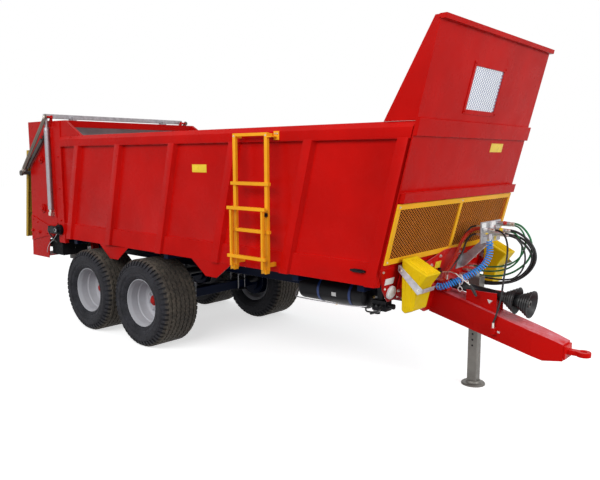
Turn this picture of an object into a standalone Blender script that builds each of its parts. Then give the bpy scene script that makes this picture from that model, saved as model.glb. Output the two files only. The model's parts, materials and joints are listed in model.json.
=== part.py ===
"""A tandem-axle manure spreader: leaning-rib load body with a front grille and headboard,
scraper floor, guillotine rear door, two beaters over two discs under a lift-up rear cover,
and a single-beam drawbar that stands on its jack. Metres, +X forward, +Y to the left, +Z up.
Every place is given from the middle of the tandem, on the ground; the whole machine hangs on
one empty that puts the middle of its length at the origin."""

import math

import bmesh
import bpy
from mathutils import Matrix, Vector

# Clearances
SEAT = 0.0003  # between pieces that touch
PIN_CLEAR = 0.001  # between a pin or spindle and its bore
MOVE_CLEAR = 0.008  # between a moving piece and its guide

# Wheels and tandem
OVERALL_WIDTH = 2.50
TYRE_RADIUS = 0.55
TYRE_WIDTH = 0.55
BEAD_RADIUS = 0.2865
RIM_WIDTH = 0.444
AXLE_SPACING = 1.20
WHEEL_SEGMENTS = 20
LUG_COLUMNS = 40  # ridges and grooves of the tyre's shoulder, in turn
DRUM_RADIUS = 0.205
SPINDLE_RADIUS = 0.048
WHEEL_Y = (OVERALL_WIDTH - TYRE_WIDTH) / 2
DRUM_DEPTH = 0.235  # from the wheel's middle plane in to the drum's inner edge
AXLE_BEAM = 0.12
AXLE_BEAM_HALF = WHEEL_Y - DRUM_DEPTH - 0.04

# Load body
LEAN = 0.249  # forward lean of ribs, front wall and headboard, in metres of x for each of z
BODY_Z = 1.20  # lower edge of the skirt
FLOOR_Z = 1.39  # top of the load floor
CREASE_Z = 1.415  # where the skirt sheet is welded to the wall sheet
RAIL_Z = (2.49, 2.635)
WALL_Y = 1.112  # outer face of the wall sheet
WALL_T = 0.012
SKIRT_Y = 1.135
SKIRT_T = 0.014
RAIL_Y = 1.165
RIB_Y = 1.165
BODY_REAR_X = -1.26
FRONT_X = 4.431  # the front plane at the top of the side rail
FRONT_T = 0.012
RIB_WIDTH = 0.15
RIB_BACK_Y = WALL_Y - 0.006  # the ribs are sunk into the wall sheet's outer half
RIB_CHAMFER = 0.03
FRONT_RIB_X = FRONT_X - LEAN * (RAIL_Z[1] - BODY_Z) - FRONT_T - SEAT - RIB_WIDTH
RIBS_X = (-1.205, -0.235, 0.85, 1.865, 2.885, FRONT_RIB_X)  # rear edge of each rib at the skirt's lower edge
GUSSETS_X = (-0.06, 1.85)  # middle of each plate that hangs below the skirt
GUSSET_TOP, GUSSET_FOOT, GUSSET_DROP = 0.33, 0.09, 0.175

# Front
LEDGE_Z = (1.952, 2.04)
LEDGE_DEPTH = 0.05
GRILLE_Z = (1.41, 1.945)
GRILLE_HALF = 1.16
GRILLE_BAR = 0.05
GRILLE_CELLS = (4, 2)  # diamonds across each half, and up
STRAND = 0.012
GRILLE_T = 0.02
MESH_T = 0.006
HEADBOARD_Z = (2.65, 3.41)
HEADBOARD_FLANGE = 0.045
GUSSET_REAR_X = 4.10
WINDOW_Y = (-0.386, 0.20)
WINDOW_Z = (2.76, 3.13)
WINDOW_FRAME = 0.04
WINDOW_CELLS = (3, 2)

# Chassis
CHASSIS_RAIL_Y = 0.45
CHASSIS_RAIL_W = 0.10
CHASSIS_Z = (0.95, 1.19)
CHASSIS_REAR_X = -1.46
CHASSIS_BEARER_X = -1.34  # the cross member that carries the rear portal
HEADSTOCK_OUT = 0.022  # from the front plane to the back of the headstock plate
HEADSTOCK_T = 0.014
CROSS_DEPTH = 0.06
STATIONS_X = (-1.08, 0.0, 0.98, 2.0, 3.05, 3.84)
STATION_W = 0.08

TANK_X, TANK_Y, TANK_Z = 3.275, -0.70, 1.0
TANK_LENGTH, TANK_RADIUS = 0.89, 0.123
TANK_HANGERS_X = (3.05, 3.50)

# Scraper floor
SHAFT_Z = 1.317
REAR_SHAFT_X = -1.36
FRONT_SHAFT_X = 3.96
STRANDS_Y = (-0.62, 0.62)
STRAND_W, STRAND_T = 0.03, 0.02
SLAT_HALF, SLAT_W, SLAT_T = 0.98, 0.05, 0.038
SLAT_PITCH = 0.55
SPROCKET_RADIUS = FLOOR_Z + SEAT - SHAFT_Z - 0.0005

# Rear portal and door
PORTAL_X = (-1.42, -1.2603)
PORTAL_Y = (1.085, 1.145)
PORTAL_TOP = 2.85
DOOR_X = -1.437
DOOR_T = 0.012
DOOR_HALF = 1.13
DOOR_Z = (1.455, 2.80)
DOOR_STROKE = 1.05
CROSSBAR_X, CROSSBAR_Z, CROSSBAR_HALF, CROSSBAR_SIZE = -1.55, 2.92, 1.215, 0.06
DOOR_CYLINDER_Y = 1.187
DOOR_BARREL_Z = (1.60, 2.76)
DOOR_BARREL_RADIUS = 0.034
DOOR_ROD_RADIUS = 0.022

# Spreading unit
UNIT_Y = (1.135, 1.145)
UNIT_X = (-2.17, -1.4603)
UNIT_FOOT_X = (-2.24, -1.753)
UNIT_Z = (0.87, 2.857)
DECK_Z = (0.90, 0.912)
DECK_NECK_Y = 0.60  # half width of the deck's front part, behind the chassis
BEATER_X = -1.83
BEATERS_Z = (1.60, 2.32)
DRIVELINE_Z = 1.02
BEATER_TUBE, FLIGHT_RADIUS, TINE_RADIUS = 0.085, 0.22, 0.29
BEATER_HALF = 1.08
FLIGHT_TURNS = 2
FLIGHT_STEPS = 9  # of each turn
TINES_A_TURN = 5
DISC_X, DISC_Y, DISC_RADIUS = -2.02, 0.52, 0.48
DISC_Z = (1.0, 1.008)
VANE_TOP = 1.09

# Rear cover: hinge P, rod pin J, cross tube K, cylinder foot Q, all in x and z
COVER_P = (-1.465, 2.905)
COVER_J = (-2.21, 2.164)
COVER_K = (-2.335, 2.04)
COVER_Q = (-1.66, 2.62)
COVER_TOP, COVER_BOTTOM = (-2.30, 2.45), (-2.475, 1.136)
COVER_HALF = 1.125
COVER_ARM_Y = (1.232, 1.247)
COVER_PIN_RADIUS = 0.014
COVER_ARM_HALF = 0.034
COVER_MOUTH = 0.66  # the barrel's mouth, from its foot pin
COVER_CYLINDER_Y = 1.19
COVER_BARREL_RADIUS = 0.03
COVER_ROD_RADIUS = 0.016

# Ladder
LADDER_X = (2.386, 2.829)
LADDER_Y = 1.245
LADDER_TOP, LADDER_FOOT = 2.577, 1.215
LADDER_RUNGS = (2.08, 1.61)
FOLD_Y = 1.312
FOLD_Z = (1.245, 1.85)
FOLD_RUNGS = (1.835, 1.345)
FOLD_PIN = (1.29, 1.215)

# Drawbar
BEAM_HALF = 0.125
BEAM_END_X = 5.32
EYE_X, EYE_Z, EYE_RADIUS, EYE_HOLE = 5.468, 0.62, 0.062, 0.027
JACK_X, JACK_Y, JACK_SIZE = 4.32, 0.27, 0.10
JACK_SLEEVE_Z = (0.66, 1.14)
CHOCK_BACK_X = 4.185
CHOCK_Y = (0.70, 0.95)
LAMP_Y, LAMP_Z = 0.945, 1.136
PTO_REAR, PTO_FRONT = (4.09, 0.0, 1.10), (5.0, 0.0, 0.99)
PTO_TUBE, PTO_CONE = 0.045, 0.13
PEDESTAL_X = (4.60, 4.66)
CHEEK_Y = (0.072, 0.08)

# Hoses: the rack's couplings, the sockets that the other ends go into, and each run between them
RACK_X = (4.44, 4.452)
RACK_Y, RACK_Z = (0.05, 0.50), (1.50, 1.71)
COUPLINGS = (  # y, z, rear end, front end, radius
    (0.25, 1.65, 4.36, 4.52, 0.020),
    (0.17, 1.58, 4.40, 4.50, 0.017),
    (0.10, 1.64, 4.42, 4.52, 0.015),
    (0.33, 1.62, 4.42, 4.58, 0.017),
    (0.42, 1.68, 4.42, 4.58, 0.017),
)
COIL_TOP = (4.52, 0.10, 1.545)
MANIFOLD_X, MANIFOLD_Y, MANIFOLD_Z = (4.07, 4.21), (-0.145, -0.055), (1.03, 1.12)
FRONT_SOCKETS = ((4.15, -0.08), (4.19, -0.12))  # x and y of the stubs on the manifold
FAR_SOCKETS = ((0.43, 1.14), (0.38, 1.09))  # y and z of the stubs on the headstock
SOCKET_Z, FAR_SOCKET_X = 1.145, 4.15
COIL_SOCKET = (4.12, -0.215, 1.085)
DROP_SOCKET_Z = (0.69, 0.75)
DROP_X, DROP_Y = 4.697, -0.152
HOSE_STEP = 0.06
HOSES = {  # paint, diameter, and the points that the run passes through
    "hose_upper": ("rubber", 0.018, (
        (4.3597, 0.25, 1.65), (4.31, 0.25, 1.65), (4.255, 0.24, 1.635), (4.218, 0.21, 1.58), (4.208, 0.15, 1.50),
        (4.208, 0.08, 1.42), (4.20, 0.02, 1.345), (4.182, -0.03, 1.28), (4.16, -0.065, 1.215), (4.15, -0.08, 1.1453))),
    "hose_lower": ("rubber", 0.018, (
        (4.3997, 0.17, 1.58), (4.35, 0.17, 1.58), (4.295, 0.155, 1.56), (4.265, 0.12, 1.50), (4.26, 0.07, 1.42),
        (4.25, 0.01, 1.355), (4.228, -0.053, 1.29), (4.20, -0.102, 1.222), (4.19, -0.12, 1.1453))),
    "hose_far": ("rubber", 0.024, (
        (4.5803, 0.33, 1.62), (4.64, 0.33, 1.625), (4.75, 0.33, 1.58), (4.85, 0.33, 1.49), (4.885, 0.335, 1.39),
        (4.86, 0.35, 1.29), (4.78, 0.37, 1.19), (4.66, 0.38, 1.11), (4.52, 0.38, 1.07), (4.38, 0.38, 1.06),
        (4.25, 0.38, 1.08), (4.1503, 0.38, 1.09))),
    "hose_green": ("green_rubber", 0.020, (
        (4.5803, 0.42, 1.68), (4.64, 0.42, 1.685), (4.72, 0.415, 1.645), (4.79, 0.41, 1.56), (4.815, 0.41, 1.46),
        (4.79, 0.42, 1.35), (4.72, 0.425, 1.26), (4.61, 0.43, 1.18), (4.48, 0.43, 1.135), (4.34, 0.43, 1.12),
        (4.24, 0.43, 1.13), (4.1503, 0.43, 1.14))),
    "air_coil": ("blue_plastic", 0.070, (
        (4.52, 0.10, 1.5447), (4.525, 0.10, 1.48), (4.53, 0.08, 1.40), (4.515, 0.04, 1.325), (4.47, -0.005, 1.262),
        (4.405, -0.06, 1.21), (4.33, -0.12, 1.16), (4.255, -0.175, 1.115), (4.19, -0.21, 1.09), (4.1203, -0.215, 1.085))),
    "hose_drop": ("rubber", 0.018, (
        (4.5203, 0.10, 1.64), (4.58, 0.095, 1.645), (4.67, 0.06, 1.615), (4.74, -0.01, 1.54), (4.775, -0.08, 1.44),
        (4.78, -0.125, 1.32), (4.775, -0.148, 1.18), (4.762, -0.155, 1.04), (4.735, -0.155, 0.92),
        (4.707, -0.153, 0.82), (DROP_X, DROP_Y, 0.7503))),
}

MID_X = (EYE_X + EYE_RADIUS + DISC_X - DISC_RADIUS) / 2

COLOURS = {  # colour, roughness, metallic
    "red_paint": ((0.52, 0.010, 0.008), 0.25, 0.0),
    "yellow_paint": ((0.90, 0.40, 0.02), 0.35, 0.0),
    "chock_yellow": ((0.85, 0.68, 0.02), 0.45, 0.0),
    "navy_paint": ((0.004, 0.010, 0.045), 0.35, 0.0),
    "silver_paint": ((0.55, 0.56, 0.58), 0.3, 0.6),
    "galvanised": ((0.42, 0.43, 0.44), 0.45, 0.8),
    "dark_steel": ((0.08, 0.075, 0.07), 0.5, 0.5),
    "grey_steel": ((0.25, 0.25, 0.25), 0.45, 0.6),
    "chrome": ((0.75, 0.75, 0.76), 0.1, 1.0),
    "rubber": ((0.015, 0.014, 0.013), 0.8, 0.0),
    "black_paint": ((0.008, 0.008, 0.009), 0.4, 0.0),
    "lamp_white": ((0.85, 0.85, 0.83), 0.2, 0.0),
    "green_rubber": ((0.02, 0.14, 0.04), 0.5, 0.0),
    "blue_plastic": ((0.01, 0.08, 0.45), 0.3, 0.0),
}

PLANES = {  # columns: where an outline's two directions and its thickness point
    "x": Matrix(((0, 0, 1), (1, 0, 0), (0, 1, 0))).to_4x4(),
    "y": Matrix(((1, 0, 0), (0, 0, -1), (0, 1, 0))).to_4x4(),
    "z": Matrix.Identity(4),
}


# Scene and materials

def empty_scene():
    for thing in list(bpy.data.objects):
        bpy.data.objects.remove(thing, do_unlink=True)


def new_collection(name):
    made = bpy.data.collections.new(name)
    bpy.context.scene.collection.children.link(made)
    return made


def material(name):
    made = bpy.data.materials.get(name)
    if made is None:
        colour, roughness, metallic = COLOURS[name]
        made = bpy.data.materials.new(name)
        made.use_nodes = True
        shader = made.node_tree.nodes["Principled BSDF"]
        shader.inputs["Base Color"].default_value = (*colour, 1.0)
        shader.inputs["Roughness"].default_value = roughness
        shader.inputs["Metallic"].default_value = metallic
    return made


empty_scene()
MACHINE = new_collection("manure_spreader")
WORK = new_collection("work")
ROOT = bpy.data.objects.new("machine_frame", None)
ROOT.location = (-MID_X, 0, 0)
MACHINE.objects.link(ROOT)


# Shapes: each returns a loose piece that fuse() joins into a named node

def piece_of(mesh):
    made = bpy.data.objects.new("piece", mesh)
    WORK.objects.link(made)
    return made


def piece_from(bm):
    mesh = bpy.data.meshes.new("piece")
    bm.to_mesh(mesh)
    bm.free()
    return piece_of(mesh)


def baked(thing, weld=0.0):
    """The evaluated mesh of a curve or of an object with modifiers, as a plain piece."""
    bpy.context.view_layer.update()
    graph = bpy.context.evaluated_depsgraph_get()
    mesh = bpy.data.meshes.new_from_object(thing.evaluated_get(graph), depsgraph=graph)
    mesh.transform(thing.matrix_world)
    bpy.data.objects.remove(thing, do_unlink=True)
    if weld:
        bm = bmesh.new()
        bm.from_mesh(mesh)
        bmesh.ops.remove_doubles(bm, verts=bm.verts, dist=weld)
        bm.to_mesh(mesh)
        bm.free()
    return piece_of(mesh)


def moved(piece, matrix):
    piece.data.transform(matrix)
    if matrix.determinant() < 0:
        piece.data.flip_normals()
    return piece


def leaned(piece, foot_z):
    """The piece pushed forward by LEAN for each metre above foot_z."""
    shear = Matrix.Identity(4)
    shear[0][2] = LEAN
    shear[0][3] = -LEAN * foot_z
    return moved(piece, shear)


def block(x, y, z):
    bm = bmesh.new()
    size = Matrix.Diagonal((abs(x[1] - x[0]), abs(y[1] - y[0]), abs(z[1] - z[0]), 1))
    middle = Matrix.Translation(((x[0] + x[1]) / 2, (y[0] + y[1]) / 2, (z[0] + z[1]) / 2))
    bmesh.ops.create_cube(bm, size=1, matrix=middle @ size)
    return piece_from(bm)


def bar(start, end, radius, end_radius=None, sides=16):
    """A round bar or cone between two points."""
    start, end = Vector(start), Vector(end)
    along = end - start
    turn = along.to_track_quat("Z", "Y").to_matrix().to_4x4()
    bm = bmesh.new()
    bmesh.ops.create_cone(
        bm, cap_ends=True, segments=sides, radius1=radius,
        radius2=radius if end_radius is None else end_radius, depth=along.length,
        matrix=Matrix.Translation((start + end) / 2) @ turn,
    )
    return piece_from(bm)


def plate(outline, axis, low, high, holes=()):
    """A flat outline as thick as low to high along axis: points are (y, z), (x, z) or (x, y)."""
    curve = bpy.data.curves.new("outline", "CURVE")
    curve.dimensions = "2D"
    curve.fill_mode = "BOTH"
    curve.extrude = abs(high - low) / 2
    for points in (outline, *holes):
        spline = curve.splines.new("POLY")
        spline.points.add(len(points) - 1)
        for point, (u, v) in zip(spline.points, points):
            point.co = (u, v, 0, 1)
        spline.use_cyclic_u = True
    made = bpy.data.objects.new("outline", curve)
    WORK.objects.link(made)
    middle = (low + high) / 2
    shift = Matrix.Translation([middle if name == axis else 0 for name in "xyz"])
    made.matrix_world = shift @ PLANES[axis]
    return baked(made, weld=1e-5)


def tube(points, radius, resolution=2):
    """A round tube through a list of points."""
    curve = bpy.data.curves.new("run", "CURVE")
    curve.dimensions = "3D"
    curve.bevel_depth = radius
    curve.bevel_resolution = resolution
    curve.use_fill_caps = True
    spline = curve.splines.new("POLY")
    spline.points.add(len(points) - 1)
    for point, place in zip(spline.points, points):
        point.co = (*place, 1)
    made = bpy.data.objects.new("run", curve)
    WORK.objects.link(made)
    return baked(made, weld=1e-5)


def turned(profile, segments, closed=False, angle=math.tau, rise=0.0):
    """A profile of (radius, height) turned about Z. It runs down its outer side."""
    mesh = bpy.data.meshes.new("profile")
    count = len(profile)
    edges = [(i, i + 1) for i in range(count - 1)]
    if closed:
        edges.append((count - 1, 0))
    mesh.from_pydata([(r, 0, z) for r, z in profile], edges, [])
    made = bpy.data.objects.new("profile", mesh)
    WORK.objects.link(made)
    screw = made.modifiers.new("turn", "SCREW")
    screw.axis = "Z"
    screw.angle = angle
    screw.screw_offset = rise
    screw.steps = screw.render_steps = segments
    screw.use_merge_vertices = rise == 0
    screw.merge_threshold = 1e-5
    return made


def ring(radius, sides, middle=(0, 0), start=0.0, sweep=math.tau):
    """Points on a circle, or on the arc of it that sweep covers, ends included."""
    steps = sides if sweep == math.tau else sides + 1
    return [
        (
            middle[0] + radius * math.cos(start + sweep * i / sides),
            middle[1] + radius * math.sin(start + sweep * i / sides),
        )
        for i in range(steps)
    ]


def link_outline(a, b, half, sides=4):
    """The outline of a link with round ends about a and b."""
    heading = math.atan2(b[1] - a[1], b[0] - a[0])
    near = ring(half, sides, a, heading + math.pi / 2, math.pi)
    far = ring(half, sides, b, heading - math.pi / 2, math.pi)
    return near + far


def lattice(y, z, cells, strand):
    """Diamond holes in rows over a rectangle, which leave crossing strands between them."""
    columns, rows = cells
    wide, tall = (y[1] - y[0]) / columns / 2, (z[1] - z[0]) / rows / 2
    keep = 1 - strand / 2 * math.hypot(wide, tall) / (wide * tall)
    holes = []
    for i in range(2 * columns + 1):
        for j in range(i % 2, 2 * rows + 1, 2):
            u, v = y[0] + i * wide, z[0] + j * tall
            diamond = [(u - wide * keep, v), (u, v - tall * keep), (u + wide * keep, v), (u, v + tall * keep)]
            inside = [
                (p, q) for p, q in diamond
                if y[0] - SEAT < p < y[1] + SEAT and z[0] - SEAT < q < z[1] + SEAT
            ]
            if len(inside) == 2:
                inside.insert(1, (u, v))  # a quarter, in a corner
            holes.append(inside)
    return holes


def smooth_run(points, step):
    """Points about a step apart on a smooth curve through the given ones, square to a socket at each end."""
    knots = [Vector(point) for point in points]
    knots = [2 * knots[0] - knots[1], *knots, 2 * knots[-1] - knots[-2]]
    fine = []
    for a, b, c, d in zip(knots, knots[1:], knots[2:], knots[3:]):
        for i in range(12):
            t = i / 12
            fine.append(b + (c - a) * t / 2 + (2 * a - 5 * b + 4 * c - d) * t ** 2 / 2 + (3 * b - a - 3 * c + d) * t ** 3 / 2)
    fine.append(knots[-2])
    gone = [0.0]
    for a, b in zip(fine, fine[1:]):
        gone.append(gone[-1] + (b - a).length)
    count = max(2, round(gone[-1] / step))
    run = []
    for i in range(count + 1):
        goal = gone[-1] * i / count
        k = min(next(n for n, length in enumerate(gone) if length >= goal - 1e-9), len(fine) - 1)
        share = 0 if k == 0 else (goal - gone[k - 1]) / (gone[k] - gone[k - 1])
        run.append(fine[0].copy() if k == 0 else fine[k - 1].lerp(fine[k], share))
    for end, inner in ((0, 1), (-1, -2)):
        step_out = run[inner] - run[end]
        axis = max(range(3), key=lambda n: abs(step_out[n]))
        straight = Vector((0, 0, 0))
        straight[axis] = math.copysign(step_out.length, step_out[axis])
        run[inner] = run[end] + straight
    return run


def combined(base, others, operation):
    if not others:
        return base
    tools = bpy.data.collections.new("tools")
    for thing in others:
        thing.hide_render = True
        thing.display_type = "WIRE"
        tools.objects.link(thing)
    change = base.modifiers.new("combine", "BOOLEAN")
    change.operation = operation
    change.solver = "EXACT"
    change.operand_type = "COLLECTION"
    change.collection = tools
    made = baked(base)
    for thing in others:
        bpy.data.objects.remove(thing, do_unlink=True)
    bpy.data.collections.remove(tools)
    return made


def fuse(name, pieces, paint, cuts=(), pivot=(0, 0, 0), sharp=35):
    """Joins the pieces, takes the cuts away, and makes the named node with its origin at pivot."""
    made = combined(pieces[0], list(pieces[1:]), "UNION")
    made = combined(made, list(cuts), "DIFFERENCE")
    mesh = made.data
    WORK.objects.unlink(made)
    MACHINE.objects.link(made)
    made.name = mesh.name = name
    mesh.transform(Matrix.Translation(-Vector(pivot)))
    mesh.materials.clear()
    mesh.materials.append(material(paint))
    mesh.shade_smooth()
    mesh.set_sharp_from_angle(angle=math.radians(sharp))
    made.location = pivot
    made.parent = ROOT
    return made


def span(side, low, high):
    """The y range from low to high on one side, side being -1 for right and 1 for left."""
    return tuple(sorted((side * low, side * high)))


def side_name(side):
    return "right" if side < 0 else "left"


def front_x(z):
    """The front plane's x at a height."""
    return FRONT_X + LEAN * (z - RAIL_Z[1])


def headstock_x(z):
    """The x of the headstock plate's back at a height."""
    return front_x(z) + HEADSTOCK_OUT


# Wheels

def tyre_mesh():
    """A ring whose shoulders are cut into lugs: a ridge and a groove in turn, staggered side to side."""
    half = TYRE_WIDTH / 2
    bead = RIM_WIDTH / 2 - 0.0185
    shoulder = {0: [(0.50, half - 0.006), (TYRE_RADIUS - 0.001, half - 0.030)], 1: [(0.482, half - 0.02), (0.525, half - 0.05)]}
    bm = bmesh.new()
    rows = []
    for i in range(LUG_COLUMNS):
        sides = [
            [(BEAD_RADIUS, bead), (BEAD_RADIUS + 0.017, bead + 0.0185), (0.42, half), *shoulder[(i + k) % 2],
             (TYRE_RADIUS, half - 0.075)]
            for k in (0, 1)
        ]
        profile = sides[0] + [(r, -z) for r, z in reversed(sides[1])]
        angle = math.tau * i / LUG_COLUMNS
        rows.append([bm.verts.new((r * math.cos(angle), r * math.sin(angle), z)) for r, z in profile])
    count = len(rows[0])
    for i, row in enumerate(rows):
        ahead = rows[(i + 1) % LUG_COLUMNS]
        for j in range(count):
            k = (j + 1) % count
            bm.faces.new((row[j], row[k], ahead[k], ahead[j]))
    bmesh.ops.recalc_face_normals(bm, faces=bm.faces)
    return piece_from(bm)


def rim_mesh():
    seat = BEAD_RADIUS - 0.0004
    edge = RIM_WIDTH / 2
    flange = BEAD_RADIUS + 0.0165
    lip = edge - 0.0183  # where the flange's cone, along the tyre's bead, meets the seat
    bore = SPINDLE_RADIUS + PIN_CLEAR
    outer = [
        (0, 0.03), (0.065, 0.03), (0.065, -0.05), (0.18, -0.05), (0.256, -0.03), (0.262, 0.12),
        (0.288, edge), (flange, edge), (seat, lip),
    ]
    inner = [
        (seat, -lip), (flange, -edge), (0.288, -edge),
        (0.258, -0.10), (0.25, -0.06), (DRUM_RADIUS, -0.066), (DRUM_RADIUS, -DRUM_DEPTH),
        (bore, -DRUM_DEPTH), (bore, -0.10), (0, -0.10),
    ]
    return baked(turned(outer + inner, WHEEL_SEGMENTS))


def mesh_of(piece):
    """The piece's mesh by itself, for several objects to share."""
    mesh = piece.data
    bpy.data.objects.remove(piece, do_unlink=True)
    return mesh


def wheels():
    tyre, rim = mesh_of(tyre_mesh()), mesh_of(rim_mesh())
    for paint, mesh in (("rubber", tyre), ("silver_paint", rim)):
        mesh.materials.clear()
        mesh.materials.append(material(paint))
        mesh.shade_smooth()
        mesh.set_sharp_from_angle(angle=math.radians(35))
    for end, x in (("front", AXLE_SPACING / 2), ("rear", -AXLE_SPACING / 2)):
        for side in (-1, 1):
            for kind, mesh in (("tyre", tyre), ("rim", rim)):
                made = bpy.data.objects.new(f"{kind}_{end}_{side_name(side)}", mesh)
                MACHINE.objects.link(made)
                made.location = (x, side * WHEEL_Y, TYRE_RADIUS)
                made.rotation_euler = (-side * math.pi / 2, 0, 0)
                made.parent = ROOT


def axles():
    tip = WHEEL_Y - 0.10 - 0.0005
    for end, x in (("front", AXLE_SPACING / 2), ("rear", -AXLE_SPACING / 2)):
        half = AXLE_BEAM / 2
        beam = block((x - half, x + half), (-AXLE_BEAM_HALF, AXLE_BEAM_HALF),
                     (TYRE_RADIUS - half, TYRE_RADIUS + half))
        pieces = [beam]
        for side in (-1, 1):
            end_y = side * AXLE_BEAM_HALF
            for inner, outer, radius in ((end_y - side * 0.04, side * tip, SPINDLE_RADIUS),
                                         (end_y - side * 0.01, end_y + side * 0.015, 0.15)):
                pieces.append(bar((x, inner, TYRE_RADIUS), (x, outer, TYRE_RADIUS), radius, sides=20))
        fuse(f"axle_{end}", pieces, "navy_paint")


def suspension():
    """A centre-pivot bogie on each side: a leaf pack whose ends are clamped on the axles."""
    top = TYRE_RADIUS + AXLE_BEAM / 2
    reach = AXLE_SPACING / 2
    half = CHASSIS_RAIL_W / 2
    tube_half = CHASSIS_RAIL_Y + half + 0.03
    pieces = [bar((0, -tube_half, top + 0.10), (0, tube_half, top + 0.10), 0.05, sides=16)]
    for side in (-1, 1):
        y = span(side, CHASSIS_RAIL_Y - half, CHASSIS_RAIL_Y + half)
        arch = [(-reach - 0.09, top + SEAT), (-reach - 0.09, top + 0.05), (-0.25, top + 0.13), (0.25, top + 0.13),
                (reach + 0.09, top + 0.05), (reach + 0.09, top + SEAT), (reach - 0.09, top + SEAT),
                (0.25, top + 0.03), (-0.25, top + 0.03), (-reach + 0.09, top + SEAT)]
        hanger = [(-0.16, top + 0.10), (0.16, top + 0.10), (0.24, CHASSIS_Z[0] - SEAT), (-0.24, CHASSIS_Z[0] - SEAT)]
        pieces += [plate(arch, "y", *y), plate(hanger, "y", y[0] + 0.01, y[1] - 0.01)]
    fuse("suspension", pieces, "black_paint")


# Chassis and floor

def chassis():
    low, high = CHASSIS_Z
    half = CHASSIS_RAIL_W / 2
    rail = [(CHASSIS_REAR_X, low), (headstock_x(low) - SEAT, low), (headstock_x(high) - SEAT, high),
            (CHASSIS_REAR_X, high)]
    pieces = [
        plate(rail, "y", *span(side, CHASSIS_RAIL_Y - half, CHASSIS_RAIL_Y + half))
        for side in (-1, 1)
    ]
    reach = PORTAL_Y[0] - SEAT
    for x in (CHASSIS_BEARER_X, *STATIONS_X):
        pieces.append(block((x - STATION_W / 2, x + STATION_W / 2), (-reach, reach), (high - CROSS_DEPTH, high)))
    bracket = (TANK_HANGERS_X[1] - 0.03, TANK_HANGERS_X[1] + 0.03)
    pieces.append(block(bracket, (-0.80, -0.48), (high - CROSS_DEPTH, high)))
    fuse("chassis_frame", pieces, "navy_paint")


def floor_panel():
    """The floor sheet on its bearers, whose end posts stand on the chassis cross members."""
    pieces = [block((BODY_REAR_X + 0.02, FRONT_SHAFT_X - 0.04), (-1.095, 1.095), (FLOOR_Z - 0.008, FLOOR_Z))]
    for x in STATIONS_X:
        across = (x - 0.03, x + 0.03)
        pieces.append(block(across, (-1.085, 1.085), (1.275, FLOOR_Z - 0.004)))
        for side in (-1, 1):
            pieces.append(block(across, span(side, 1.02, 1.08), (CHASSIS_Z[1] + SEAT, 1.29)))
    fuse("floor_panel", pieces, "red_paint")


def apron():
    """Two chain strands with the slats that they pull: the run on the floor, and the return run
    under it with the turns round both shafts."""
    inner = FLOOR_Z + SEAT - SHAFT_Z
    outer = inner + STRAND_T

    def turns(radius):
        rear = ring(radius, 8, (REAR_SHAFT_X, SHAFT_Z), math.pi / 2, math.pi)
        return rear + ring(radius, 8, (FRONT_SHAFT_X, SHAFT_Z), -math.pi / 2, math.pi)

    runs = {"scraper_chain": [], "scraper_return": []}
    for y in STRANDS_Y:
        across = (y - STRAND_W / 2, y + STRAND_W / 2)
        runs["scraper_chain"].append(
            block((REAR_SHAFT_X + SEAT, FRONT_SHAFT_X - SEAT), across, (SHAFT_Z + inner, SHAFT_Z + outer)))
        runs["scraper_return"].append(plate(turns(outer) + list(reversed(turns(inner))), "y", *across))
    count = int((FRONT_SHAFT_X - REAR_SHAFT_X) / SLAT_PITCH)
    for i in range(count):
        x = REAR_SHAFT_X + 0.25 + i * SLAT_PITCH
        for run, low in (("scraper_chain", FLOOR_Z + SEAT), ("scraper_return", SHAFT_Z - inner - SLAT_T)):
            runs[run].append(block((x, x + SLAT_W), (-SLAT_HALF, SLAT_HALF), (low, low + SLAT_T)))
    for run, pieces in runs.items():
        fuse(run, pieces, "dark_steel")
    seats = (("drive", REAR_SHAFT_X, PORTAL_Y[1]), ("idler", FRONT_SHAFT_X, RIB_BACK_Y - SEAT))
    for name, x, reach in seats:
        parts = [bar((x, -reach, SHAFT_Z), (x, reach, SHAFT_Z), 0.03, sides=12)]
        for y in STRANDS_Y:
            parts.append(bar((x, y - 0.02, SHAFT_Z), (x, y + 0.02, SHAFT_Z), SPROCKET_RADIUS, sides=16))
        fuse(f"{name}_shaft", parts, "dark_steel")


# Load body

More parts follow.
